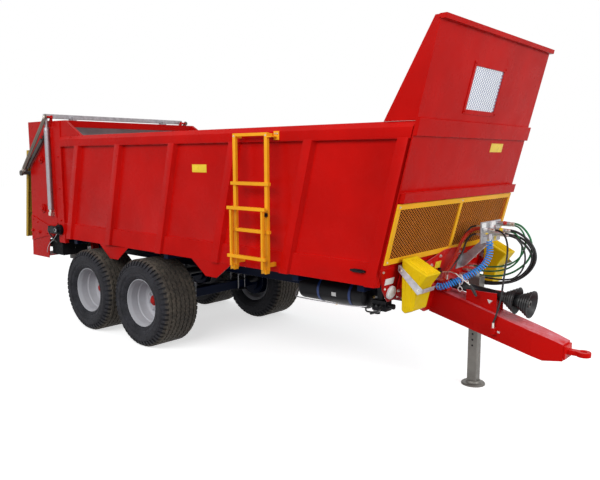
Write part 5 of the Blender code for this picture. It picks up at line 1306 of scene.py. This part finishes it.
def drain_tap():
    """The tap on the skirt's lower edge."""
    bm = bmesh.new()
    block(bm, (3.80, 3.90), (-1.160, -1.136), (1.318, 1.348))
    rod(bm, (3.77, -1.148, 1.333), (3.93, -1.148, 1.333), 0.011)
    rod(bm, (3.85, -1.160, 1.333), (3.85, -1.172, 1.333), 0.008)
    block(bm, (3.845, 3.915), (-1.176, -1.171), (1.326, 1.340))
    add_piece("drain_tap", bm, "black", edge=0.002)


# Rear: cover, cylinders, crossbar and lines

COVER_P, COVER_K, COVER_J, COVER_Q = (-1.465, 2.905), (-2.262, 2.112), (-2.21, 2.164), (-1.66, 2.62)
COVER_TOP, COVER_BOTTOM, COVER_HALF = Vector((-2.30, 0, 2.45)), Vector((-2.475, 0, 1.136)), 1.125
COVER_MOUTH = 0.66  # from the barrel's pin to its open end
COVER_RIM, RIM_T = 0.050, 0.008


def link_outline(a, b, half, sides=10):
    """A bar with round ends about two points."""
    heading = math.atan2(b[1] - a[1], b[0] - a[0])
    points = []
    for middle, start in ((a, heading + math.pi / 2), (b, heading - math.pi / 2)):
        for i in range(sides + 1):
            turn = start + math.pi * i / sides
            points.append((middle[0] + half * math.cos(turn), middle[1] + half * math.sin(turn)))
    return points


def cover_panel():
    """The lift-up panel with its folded rims and ribs."""
    down = COVER_BOTTOM - COVER_TOP
    out = Vector((down.z, 0, -down.x)).normalized()
    half = COVER_HALF
    bm = bmesh.new()

    def sheet(shares, y, depths):
        """A block on the panel between two shares of its height and two distances behind it."""
        corners = []
        for share in shares:
            base = at(*COVER_TOP) + down * share
            corners += [base + Vector((0, b, 0)) + out * depth for b in y for depth in depths]
        box_on(bm, corners)

    sheet((0, 1), (-half, half), (0.002, 0.008))
    for side, _ in SIDES:
        sheet((0.001, 0.999), between(side, half - RIM_T, half), (-COVER_RIM, 0.003))
    for share in (0.0, 0.992):
        sheet((share, share + 0.008), (RIM_T - half, half - RIM_T), (-0.030, 0.003))
    for share in (0.22, 0.46, 0.70):
        sheet((share, share + 0.022), (0.01 - half, half - 0.01), (-0.018, 0.003))
    bmesh.ops.recalc_face_normals(bm, faces=bm.faces)
    add_piece("cover_panel", bm, "cover", "rear_cover", edge=0.0015, replaces="rear_cover")


def cover():
    """The panel, hung on two flat arms with a tube between them, and the pins of the linkage."""
    cover_panel()
    (px, pz), (kx, kz), (jx, jz) = COVER_P, COVER_K, COVER_J
    stiffener = link_outline((px - 0.05, pz - 0.05), (kx + 0.05, kz + 0.05), 0.008)
    foot = COVER_TOP + (COVER_BOTTOM - COVER_TOP) * 0.16
    bracket = [(kx - 0.03, kz + 0.02), (foot.x, foot.z), (foot.x - 0.03, foot.z - 0.24),
               (kx + 0.01, kz - 0.03)]
    arms, cross, pins, hinges = (bmesh.new() for _ in range(4))
    rod(cross, (kx, -1.238, kz), (kx, 1.238, kz), 0.028, 28)
    for side, _ in SIDES:
        slab(arms, link_outline(COVER_P, COVER_K, 0.034), *between(side, 1.232, 1.247))
        slab(arms, stiffener, *between(side, 1.2465, 1.2515))
        rod(cross, (kx, side * 1.228, kz), (kx, side * 1.258, kz), 0.040, 28)
        for y in (0.35, 0.95):
            slab(cross, bracket, *between(side, y, y + 0.012))
        rod(pins, (jx, side * 1.206, jz), (jx, side * 1.256, jz), 0.015, 20)
        hex_nut(pins, at(jx, side * 1.247, jz), 0.020, 0.013, outward(side))
        hex_nut(hinges, at(px, side * 1.2585, pz), 0.021, 0.012, outward(side))
    add_piece("cover_arms", arms, "arm", "rear_cover", edge=0.0025)
    add_piece("cover_tube", cross, "steel", "rear_cover", edge=0.001)
    add_piece("cover_pins", pins, "zinc", "rear_cover")
    add_piece("hinge_nuts", hinges, "zinc")


def barrel_profile(radius, low, high, bore):
    """A cylinder barrel with its welded base, gland nut and wiper, open at the top."""
    groove, gland, mouth = radius * 0.94, radius * 1.06, bore * 1.06
    return [
        (0.0, low), (radius * 0.9, low), (radius, low + 0.006), (radius, high - 0.06),
        (groove, high - 0.058), (groove, high - 0.052), (gland, high - 0.050), (gland, high - 0.006),
        (radius * 0.98, high), (mouth, high), (mouth, high - 0.02), (0.0, high - 0.02),
    ]


BARREL_EYE = ((0.0150, -0.012), (0.028, -0.012), (0.028, 0.012), (0.0150, 0.012))
ROD_EYE = (
    (0.0155, -0.0135), (0.0295, -0.0135), (0.030, -0.011), (0.030, 0.011), (0.0295, 0.0135),
    (0.0155, 0.0135),
)
CYLINDER_Y = 1.19


def cylinders():
    (qx, qz), (jx, jz) = COVER_Q, COVER_J
    along = Vector((jx - qx, 0, jz - qz)).normalized()
    up = Vector((along.z, 0, -along.x)).normalized()
    for side, name in SIDES:
        base, tip = at(qx, side * CYLINDER_Y, qz), at(jx, side * CYLINDER_Y, jz)
        bm = bmesh.new()
        lathe(bm, barrel_profile(0.029, 0.028, COVER_MOUTH, 0.0165), 32, place=standing(base, along))
        weld(bm)
        lathe(bm, BARREL_EYE, 28, closed=True, place=Matrix.Translation(base) @ outward(side))
        for reach in (0.07, COVER_MOUTH - 0.085):
            port = base + along * reach
            tube(bm, [port + up * 0.022, port + up * 0.042], 0.011, 6)
        bmesh.ops.recalc_face_normals(bm, faces=bm.faces)
        barrel = f"cover_barrel_{name}"
        add_piece(f"cover_cylinder_{name}", bm, "steel", barrel, edge=0.0008, replaces=barrel)
        stem = f"cover_rod_{name}"
        bm = bmesh.new()
        tube(bm, [base + along * 0.20, tip - along * 0.02], 0.0158, 24)
        add_piece(f"cover_rod_fine_{name}", bm, "chrome", stem, replaces=stem)
        bm = bmesh.new()
        lathe(bm, ROD_EYE, 28, closed=True, place=Matrix.Translation(tip) @ outward(side))
        tube(bm, [tip - along * 0.026, tip - along * 0.062], [0.021, 0.0185], 20)
        bmesh.ops.recalc_face_normals(bm, faces=bm.faces)
        add_piece(f"cover_eye_{name}", bm, "steel", stem)


CROSSBAR_X, DOOR_CYLINDER_Y, DOOR_BARREL_Z = -1.55, 1.187, (1.60, 2.76)
DOOR_LINE = (  # behind the barrel, height
    (0.075, 2.66), (0.062, 2.56), (0.050, 2.30), (0.050, 1.85), (0.052, 1.72), (0.075, 1.66),
)
WALL_LINES = (  # ahead of the barrel, height
    ((0.045, 2.74), (0.06, 2.50), (0.075, 2.05), (0.08, 1.48)),
    ((0.07, 2.70), (0.085, 2.45), (0.10, 2.05), (0.10, 1.48)),
)


def door():
    rounded("slurry_door", 0.003)
    rounded("door_crossbar", 0.004)
    places = [at(-1.4735, y, z) for y in (-0.8, 0.8) for z in (2.67, 2.74)]
    bolts("bracket_bolts", places, BACKWARD, "zinc", "slurry_door", 0.012, 0.011)
    (low, high), x = DOOR_BARREL_Z, CROSSBAR_X
    ports = low + 0.045, high - 0.085
    for side, name in SIDES:
        y, wall = side * DOOR_CYLINDER_Y, side * 1.1475
        profile = barrel_profile(0.034, low - 0.002, high, 0.0228)
        turned_piece(f"door_cylinder_{name}", profile, Matrix.Translation(at(x, y, 0)), "barrel",
                     replaces=f"door_barrel_{name}")
        bm = bmesh.new()
        block(bm, (x - 0.03, x + 0.03), between(side, 1.1453, 1.207), (low - 0.09, low - 0.04))
        rod(bm, (x, y, low - 0.05), (x, y, low + 0.004), 0.020, 20)
        for z in ports:
            rod(bm, (x - 0.028, y, z), (x - 0.052, y, z), 0.012, 6)
        add_piece(f"door_cylinder_feet_{name}", bm, "zinc", edge=0.001)
        bm = bmesh.new()
        run = [(0.052, ports[1]), *DOOR_LINE, (0.052, ports[0])]
        line(bm, [(x - back, y, z) for back, z in run], 0.02, 0.0075, 12)
        add_piece(f"door_line_{name}", bm, "rubber")
        bm = bmesh.new()
        for run in WALL_LINES:
            line(bm, [(x + ahead, wall, z) for ahead, z in run], 0.06, 0.005, 8)
        add_piece(f"wall_lines_{name}", bm, "red")


# Spreading unit

BEATER_X, BEATERS = -1.83, (("beater_lower", 1.60, 1), ("beater_upper", 2.32, -1))
BEATER_TUBE, FLIGHT_RADIUS, TINE_RADIUS, BEATER_HALF = 0.085, 0.22, 0.29, 1.08
BEATER_END = ((0.0, -1.145), (0.03, -1.145), (0.03, -1.082), (0.080, -1.08), (BEATER_TUBE, -1.075))
FLIGHT_TURNS, TINES_A_TURN, FLIGHT_STEPS = 2, 5, 36
FLIGHT_SECTION = (
    (BEATER_TUBE - 0.004, -0.005), (FLIGHT_RADIUS, -0.004), (FLIGHT_RADIUS, 0.004),
    (BEATER_TUBE - 0.004, 0.005),
)
TINE_ROOT, TINE_HALF, TINE_FACES = FLIGHT_RADIUS - 0.045, 0.025, (0.0045, 0.0125)
TINE = (
    (TINE_ROOT, -TINE_HALF), (TINE_RADIUS - 0.025, -TINE_HALF), (TINE_RADIUS, -0.008), (TINE_RADIUS, 0.008),
    (TINE_RADIUS - 0.012, TINE_HALF), (TINE_ROOT, TINE_HALF),
)


def flight(bm, axis, turns, length):
    """A helical strip round the beater's tube, along the axis's Z."""
    steps = FLIGHT_STEPS * FLIGHT_TURNS
    rows = []
    for i in range(steps + 1):
        turn, lift = math.tau * turns * i / steps, length * i / steps
        c, s = math.cos(turn), math.sin(turn)
        rows.append([bm.verts.new(axis @ Vector((r * c, r * s, lift + h))) for r, h in FLIGHT_SECTION])
    for here, following in zip(rows, rows[1:]):
        band(bm, here, following)


def tine(tines, tine_nuts, here):
    """A blade bolted to the flight's edge, in a frame whose X points out from the beater's axis."""
    def lay(u, v, h):
        return here @ Vector((u, v, h))

    slab(tines, TINE, *TINE_FACES, lay)
    for v in (-0.012, 0.012):
        spot = here @ Matrix.Translation((FLIGHT_RADIUS - 0.022, v, TINE_FACES[1]))
        hex_nut(tine_nuts, (0, 0, 0), 0.0075, 0.007, spot)


def beaters():
    """A tube with two flights that push to the middle, and bolted tines along the flights' edges."""
    length = BEATER_HALF - 0.04
    profile = [*BEATER_END, *((r, -h) for r, h in reversed(BEATER_END))]
    tine_count = TINES_A_TURN * FLIGHT_TURNS
    for name, z, hand in BEATERS:
        middle = at(BEATER_X, 0, z)
        bm = bmesh.new()
        lathe(bm, profile, 40, place=Matrix.Translation(middle) @ RIGHTWARD)
        weld(bm)
        add_piece(f"{name}_tube", bm, "steel", name, replaces=name)
        flights, tines, tine_nuts = (bmesh.new() for _ in range(3))
        for side, _ in SIDES:
            turns = FLIGHT_TURNS * side * hand
            axis = Matrix.Translation(middle + Vector((0, side * 0.02, 0))) @ outward(side)
            flight(flights, axis, turns, length)
            for i in range(tine_count):
                share = (i + 0.5) / tine_count
                turn = Matrix.Rotation(math.tau * turns * share, 4, "Z")
                tine(tines, tine_nuts, axis @ Matrix.Translation((0, 0, length * share)) @ turn)
        bmesh.ops.recalc_face_normals(flights, faces=flights.faces)
        add_piece(f"{name}_flights", flights, "steel", name, smooth=30)
        add_piece(f"{name}_tines", tines, "grey", name, edge=0.0012)
        add_piece(f"{name}_nuts", tine_nuts, "zinc", name)


DISC_X, DISC_Y, DISC_RADIUS, DISC_LOW, DISC_HIGH = -2.02, 0.52, 0.48, 1.0, 1.008
DISC_PROFILE = (
    (0.0, DISC_LOW), (DISC_RADIUS - 0.002, DISC_LOW), (DISC_RADIUS, DISC_LOW + 0.002),
    (DISC_RADIUS, DISC_HIGH - 0.002), (DISC_RADIUS - 0.002, DISC_HIGH), (0.120, DISC_HIGH),
    (0.110, DISC_HIGH + 0.012), (0.060, DISC_HIGH + 0.046), (0.050, DISC_HIGH + 0.050),
    (0.0, DISC_HIGH + 0.050),
)
VANE_X, VANE_TOP, VANE_TURN = (0.09, 0.468), 1.090, 20
VANE_PLATES = (  # across the vane, height: its web, its foot and its lip
    ((-0.004, 0.004), (DISC_HIGH + 0.0002, VANE_TOP)),
    ((0.003, 0.034), (DISC_HIGH + 0.0002, DISC_HIGH + 0.006)),
    ((0.003, 0.026), (VANE_TOP - 0.006, VANE_TOP)),
)


def discs():
    for side, name in SIDES:
        place = Matrix.Translation(at(DISC_X, side * DISC_Y, 0))
        body = f"disc_{name}"
        turned_piece(f"{body}_plate", DISC_PROFILE, place, "steel", body, segments=72, replaces=body)
        vanes, vane_nuts = bmesh.new(), bmesh.new()
        for i in range(4):
            turn = place @ Matrix.Rotation(math.radians(VANE_TURN + 90 * i) * side, 4, "Z")
            for y, z in VANE_PLATES:
                spans = VANE_X, y, z
                size = Matrix.Diagonal((*(b - a for a, b in spans), 1))
                middle = Matrix.Translation(Vector([(a + b) / 2 for a, b in spans]))
                bmesh.ops.create_cube(vanes, size=1, matrix=turn @ middle @ size)
            for x in (0.13, 0.28, 0.43):
                spot = turn @ Matrix.Translation((x, 0.018, DISC_HIGH + 0.006))
                hex_nut(vane_nuts, (0, 0, 0), 0.0085, 0.008, spot)
        nuts(vane_nuts, circle(at(DISC_X, side * DISC_Y, DISC_HIGH + 0.020), 0.088, 6), 0.008, 0.008)
        add_piece(f"{body}_vanes", vanes, "steel", body, edge=0.0015)
        add_piece(f"{body}_nuts", vane_nuts, "zinc", body)


BEARING_Y, BEARING_CAP = 1.165, ((0.0, 0.0), (0.034, 0.0), (0.034, 0.010), (0.028, 0.016), (0.0, 0.018))
UNIT_BOLTS = (  # x, z
    (-1.60, 1.325), (-1.70, 1.32), (-1.60, 1.245), (-1.74, 1.235), (-2.15, 1.42), (-2.02, 1.385),
    (-2.16, 1.145),
)


def unit():
    rounded("disc_gearbox", 0.006)
    for side, name in SIDES:
        turn = outward(side)
        bearings = {beater: at(BEATER_X, side * BEARING_Y, z) for beater, z, _ in BEATERS}
        bm = bmesh.new()
        for middle in bearings.values():
            nuts(bm, circle(middle, 0.050, 6, 0.5, UP), 0.008, 0.008, turn)
        nuts(bm, [at(x, side * 1.157, z) for x, z in UNIT_BOLTS], 0.009, 0.009, turn)
        nuts(bm, [at(-1.49, side * 1.145, z) for z in (1.30, 1.75, 2.15, 2.60)], 0.009, 0.009, turn)
        add_piece(f"unit_bolts_{name}", bm, "red")
        for beater, middle in bearings.items():
            tag = beater.removeprefix("beater_")
            turned_piece(f"bearing_cap_{tag}_{name}", BEARING_CAP, Matrix.Translation(middle) @ turn, "red")


FLAP_X, FLAP_W, FLAP_PITCH, FLAP_COUNT = (-1.4585, -1.4525), 0.194, 0.1965, 11
CURTAIN_HALF, CURTAIN_GAP, CURTAIN_TOP = 1.08, 0.60, 1.245


def curtain():
    """A rubber curtain under the load floor's rear end, in strips that meet, clear of the middle, and black
    side flaps that are painted shade.
    """
    strips = []
    for i in range(FLAP_COUNT):
        y = -CURTAIN_HALF + FLAP_PITCH * i
        if abs(y + FLAP_PITCH / 2) >= CURTAIN_GAP:
            strips.append((FLAP_X, (y, y + FLAP_W), (0.925, CURTAIN_TOP)))
    for y in ((-CURTAIN_HALF, -0.62), (0.62, CURTAIN_HALF)):
        strips.append(((-1.4525, -1.4465), y, (1.215, CURTAIN_TOP)))
    # Black flaps from the curtain back to the unit's legs: they stand where a red plate lies in shade, so
    # their black is painted shade.
    for side, _ in SIDES:
        strips.append(((-1.745, -1.4526), between(side, 1.0805, 1.0865), (0.93, CURTAIN_TOP)))
    blocks("curtain_and_shade_flaps", "curtain", strips, 0.0015)


DRIVE_X, DRIVE_Z = -1.36, 1.317
DRIVE_RING = ((0.020, 0.0), (0.027, 0.0), (0.028, 0.003), (0.027, 0.006), (0.022, 0.007), (0.020, 0.0))
DRIVE_CAP = ((0.0, -0.004), (0.0195, -0.004), (0.018, 0.010), (0.0, 0.012))
PALE_CABLE = (
    (-1.42, -1.17, 1.262), (-1.47, -1.172, 1.22), (-1.56, -1.172, 1.15), (-1.66, -1.170, 1.10),
    (-1.74, -1.165, 1.02), (-1.78, -1.155, 0.95),
)
MOTOR_HOSE = (
    (-1.59, -1.20, 1.30), (-1.63, -1.20, 1.31), (-1.645, -1.19, 1.28), (-1.62, -1.175, 1.22),
    (-1.54, -1.17, 1.17), (-1.46, -1.165, 1.13),
)


def floor_gear():
    """The floor drive's gearbox with its silver ring, its hose, and the thin cable below it."""
    rounded("floor_drive", 0.006)
    place = Matrix.Translation(at(DRIVE_X, -1.2353, DRIVE_Z)) @ RIGHTWARD
    turned_piece("floor_drive_ring", DRIVE_RING, place, "chrome")
    turned_piece("floor_drive_cap", DRIVE_CAP, place, "black")
    bm = bmesh.new()
    nuts(bm, circle(at(DRIVE_X, -1.1955, DRIVE_Z), 0.063, 8, 0.0, UP), 0.0075, 0.008, RIGHTWARD)
    nuts(bm, [at(x, -1.2205, z) for x in (-1.42, -1.56) for z in (1.275, 1.350)], 0.007, 0.007, RIGHTWARD)
    add_piece("floor_drive_bolts", bm, "black")
    for name, run, radius, sides, finish in (
        ("pale_cable", PALE_CABLE, 0.004, 8, "galvanised"), ("motor_hose", MOTOR_HOSE, 0.009, 10, "rubber"),
    ):
        bm = bmesh.new()
        line(bm, run, 0.015, radius, sides)
        add_piece(name, bm, finish)


# Scraper floor

SHAFT_Z, SHAFTS_X, STRANDS_Y = 1.317, (-1.36, 3.96), (-0.62, 0.62)
CHAIN_RADIUS = 0.0832  # from a shaft's middle to the chain's
LINK_STEP, LINK_WIRE, LINK_HALF, LINK_REACH = 0.0329, 0.0058, 0.0092, 0.0165
SLAT_PITCH, SLAT_HALF, SLAT_W, SLAT_T, SLAT_SHEET = 0.55, 0.98, 0.05, 0.038, 0.006
SLAT_LOW = {"scraper_chain": 1.3903, "scraper_return": 1.2063}


def link_points():
    """The middle line of one chain link, flat in x and y."""
    points = []
    for i in range(16):
        turn = math.tau * (i + 0.5) / 16
        shift = math.copysign(LINK_REACH, math.cos(turn))
        points.append(Vector((LINK_HALF * math.cos(turn) + shift, LINK_HALF * math.sin(turn), 0)))
    return points + points[:1]


def chain_places():
    """Where each link of the two runs goes: x, z and its tilt. The lower run includes the turns."""
    rear, front = SHAFTS_X
    count = int((front - rear) / LINK_STEP) + 1
    above = [(rear + LINK_STEP * i, SHAFT_Z + CHAIN_RADIUS, 0.0) for i in range(count)]
    below = [(x, SHAFT_Z - CHAIN_RADIUS, 0.0) for x, _, _ in above]
    for middle, start in ((rear, math.pi / 2), (front, -math.pi / 2)):
        for i in range(1, 8):
            a = start + math.pi * i / 8
            x, z = middle + CHAIN_RADIUS * math.cos(a), SHAFT_Z + CHAIN_RADIUS * math.sin(a)
            below.append((x, z, a + math.pi / 2))
    return {"scraper_chain": above, "scraper_return": below}


def chain():
    """Both runs' links, each turned a quarter from the last, and the slats between the strands."""
    link = link_points()
    y = (-SLAT_HALF, SLAT_HALF)
    for run, places in chain_places().items():
        bm = bmesh.new()
        for strand in STRANDS_Y:
            for i, (x, z, tilt) in enumerate(places):
                lie = Matrix.Rotation(-tilt, 4, "Y") @ Matrix.Rotation(math.pi / 2 * (i % 2), 4, "X")
                turn = Matrix.Translation(at(x, strand, z)) @ lie
                tube(bm, [turn @ point for point in link], LINK_WIRE, 6, caps=False)
        low = SLAT_LOW[run]
        high = low + SLAT_T
        for i in range(int((SHAFTS_X[1] - SHAFTS_X[0]) / SLAT_PITCH)):
            x = SHAFTS_X[0] + 0.25 + i * SLAT_PITCH
            block(bm, (x, x + SLAT_SHEET), y, (low, high))
            block(bm, (x + SLAT_W - SLAT_SHEET, x + SLAT_W), y, (low, high))
            block(bm, (x + 0.001, x + SLAT_W - 0.001), y, (high - SLAT_SHEET, high - 0.0003))
        add_piece(f"{run}_fine", bm, "steel", replaces=run)


# Axles and suspension

LEAVES = ((0.0, 0.69), (0.017, 0.66), (0.034, 0.56), (0.051, 0.42), (0.068, 0.30))  # lift, half length
LEAF_LOW, LEAF_RISE, LEAF_SPAN, LEAF_T = 0.6105, 0.06, 0.62, 0.0155
HANGER = ((-0.16, 0.71), (0.16, 0.71), (0.24, 0.9497), (-0.24, 0.9497))
CLAMPS = ((-0.60, (0.475, 0.70)), (0.60, (0.475, 0.70)), (0.0, (0.66, 0.80)))  # x, heights
CLAMP_X, CLAMP_Y = (-0.075, 0.075), (0.388, 0.512)
CHAMBER = (Vector((-0.03, 0, -0.01)), Vector((0, 0, 0)), Vector((0.10, 0, 0.03)), Vector((0.15, 0, 0.045)))


def leaf_packs():
    bm = bmesh.new()
    for side, _ in SIDES:
        for lift, reach in LEAVES:
            xs = [reach * (k / 12 - 1) for k in range(25)]
            under = [(x, LEAF_LOW + LEAF_RISE * max(0.0, 1 - (abs(x) / LEAF_SPAN) ** 2) + lift) for x in xs]
            over = [(x, z + LEAF_T) for x, z in reversed(under)]
            slab(bm, under + over, *between(side, 0.404, 0.496))
    add_piece("leaf_packs", bm, "black", replaces="suspension")


def suspension():
    rounded("axle_front", 0.006)
    rounded("axle_rear", 0.006)
    leaf_packs()
    bm = bmesh.new()
    rod(bm, (0, -0.53, 0.71), (0, 0.53, 0.71), 0.05, 28)
    for side, _ in SIDES:
        slab(bm, HANGER, *between(side, 0.41, 0.49))
        block(bm, (-0.13, 0.13), between(side, 0.392, 0.508), (0.735, 0.775))
    add_piece("bogie_hangers", bm, "black", edge=0.003)
    bm = bmesh.new()
    for middle, (low, high) in CLAMPS:
        for side, _ in SIDES:
            for x in (middle + off for off in CLAMP_X):
                for y in CLAMP_Y:
                    rod(bm, (x, side * y, low), (x, side * y, high), 0.009, 10)
                rod(bm, (x, side * CLAMP_Y[0], high), (x, side * CLAMP_Y[1], high), 0.009, 10)
    add_piece("spring_clamps", bm, "grey")
    bm = bmesh.new()
    for x in WHEEL_AT.values():
        for side, _ in SIDES:
            block(bm, (x - 0.10, x + 0.10), between(side, 0.37, 0.53), (0.468, 0.4895))
            stem, base, shoulder, end = (at(x + 0.10, side * 0.62, 0.60) + off for off in CHAMBER)
            tube(bm, [base, shoulder], 0.055, 24)
            tube(bm, [shoulder, end], [0.055, 0.03], 24)
            tube(bm, [stem, base], 0.012)
    add_piece("brake_chambers", bm, "black", edge=0.001)


# Ladder, plates and small bolts

LADDER_X, STUDS, STUD_HALF = (2.386, 2.829), 9, 0.008
LADDER_RUNGS = {  # body: depth of the studs, heights of the rungs
    "machine": ((-1.271, -1.243), (2.08, 1.61)), "ladder_lower": ((-1.331, -1.309), (1.835, 1.345)),
}
LADDER_BOLTS = [(x, -1.2603, z) for z in (2.55, 1.225) for x in LADDER_X]
BRACKET_BOLTS = [(x, -1.1748, 2.565) for x in (2.875, 2.905)]
LADDER_BRACKET = (
    ((2.855, 2.925), (-1.1745, -1.1655), (2.505, 2.590)),
    ((2.845, 2.900), (-1.262, -1.1655), (2.530, 2.540)),
)


def ladder():
    """Raised studs along the rungs, the ladder's bracket on the rail, its bolts and its latch."""
    low, high = LADDER_X[0] + 0.03, LADDER_X[1] - 0.03
    xs = [low + (high - low) * i / (STUDS - 1) for i in range(STUDS)]
    for body, (y, rungs) in LADDER_RUNGS.items():
        studs = [((x - STUD_HALF, x + STUD_HALF), y, (z + 0.0155, z + 0.019)) for z in rungs for x in xs]
        part = "upper" if body == "machine" else "lower"
        blocks(f"rung_studs_{part}", "yellow", studs, 0.0008, body)
    blocks("ladder_bracket", "yellow", LADDER_BRACKET, 0.0015)
    places = [at(*place) for place in LADDER_BOLTS + BRACKET_BOLTS]
    bolts("ladder_bolts", places, RIGHTWARD, size=0.008, height=0.007)
    bm = bmesh.new()
    block(bm, (2.805, 2.855), (-1.290, -1.2605), (1.765, 1.80))
    rod(bm, (2.83, -1.29, 1.78), (2.83, -1.318, 1.78), 0.007, 10)
    add_piece("ladder_latch", bm, "black", edge=0.003)


def blank_plates():
    bm = bmesh.new()
    block(bm, (1.546, 1.79), (-1.1140, -1.1123), (2.175, 2.262))
    front_block(bm, (0.0004, 0.002), (0.35, 0.63), (2.385, 2.47))
    add_piece("blank_labels", bm, "yellow_cap", edge=0.0006)


PANELS_X = (  # between the ribs' feet
    (-1.055, -0.235), (-0.085, 0.85), (1.0, 1.865), (2.015, 2.885), (3.035, 3.90),
)
BEAD_Y, BEAD_Z = 1.1126, 1.4155
BEAD_SHIFT = LEAN * 0.215  # how far the ribs have leaned forward at the beads' height


def side_details():
    """Weld beads along the skirt between the ribs' feet, and the bolts of the portal."""
    for side, name in SIDES:
        bm = bmesh.new()
        for span in PANELS_X:
            start, end = ((x + BEAD_SHIFT, side * BEAD_Y, BEAD_Z) for x in span)
            rod(bm, start, end, 0.0035, 6)
        add_piece(f"weld_beads_{name}", bm, "red")
        places = [at(-1.34, side * 1.1453, z) for z in (1.45, 1.9, 2.35)]
        bolts(f"portal_bolts_{name}", places, outward(side), "red", size=0.012, height=0.011)


# Everything, in turn

ROUNDED = {  # node: edge width
    "side_wall_right": 0.0015, "side_wall_left": 0.0015, "front_wall": 0.003, "rear_portal": 0.002,
    "chassis_frame": 0.004, "floor_panel": 0.002, "driveline": 0.003,
}

camera()
hoses()
world(light=0.55, seen=1.0)
soft_light("key", (3.4, -9.0, 6.5), (1.8, 0, 1.2), (9, 4), 600)
soft_light("fill", (11.5, -0.5, 4.0), (4.4, 0, 1.5), (5, 4), 330)
floor()
dress_nodes()
for rounded_node, edge_width in ROUNDED.items():
    rounded(rounded_node, edge_width)
MAKERS = (
    wheels, grille, headboard, rack, pto, drawbar, crank, jack, chocks, lamps, air_tank, pipes, drain_tap,
    cover, cylinders, door, beaters, discs, unit, curtain, floor_gear, chain, suspension, ladder,
    blank_plates, side_details,
)
for make in MAKERS:
    make()

bpy.context.scene.view_settings.view_transform = "Standard"
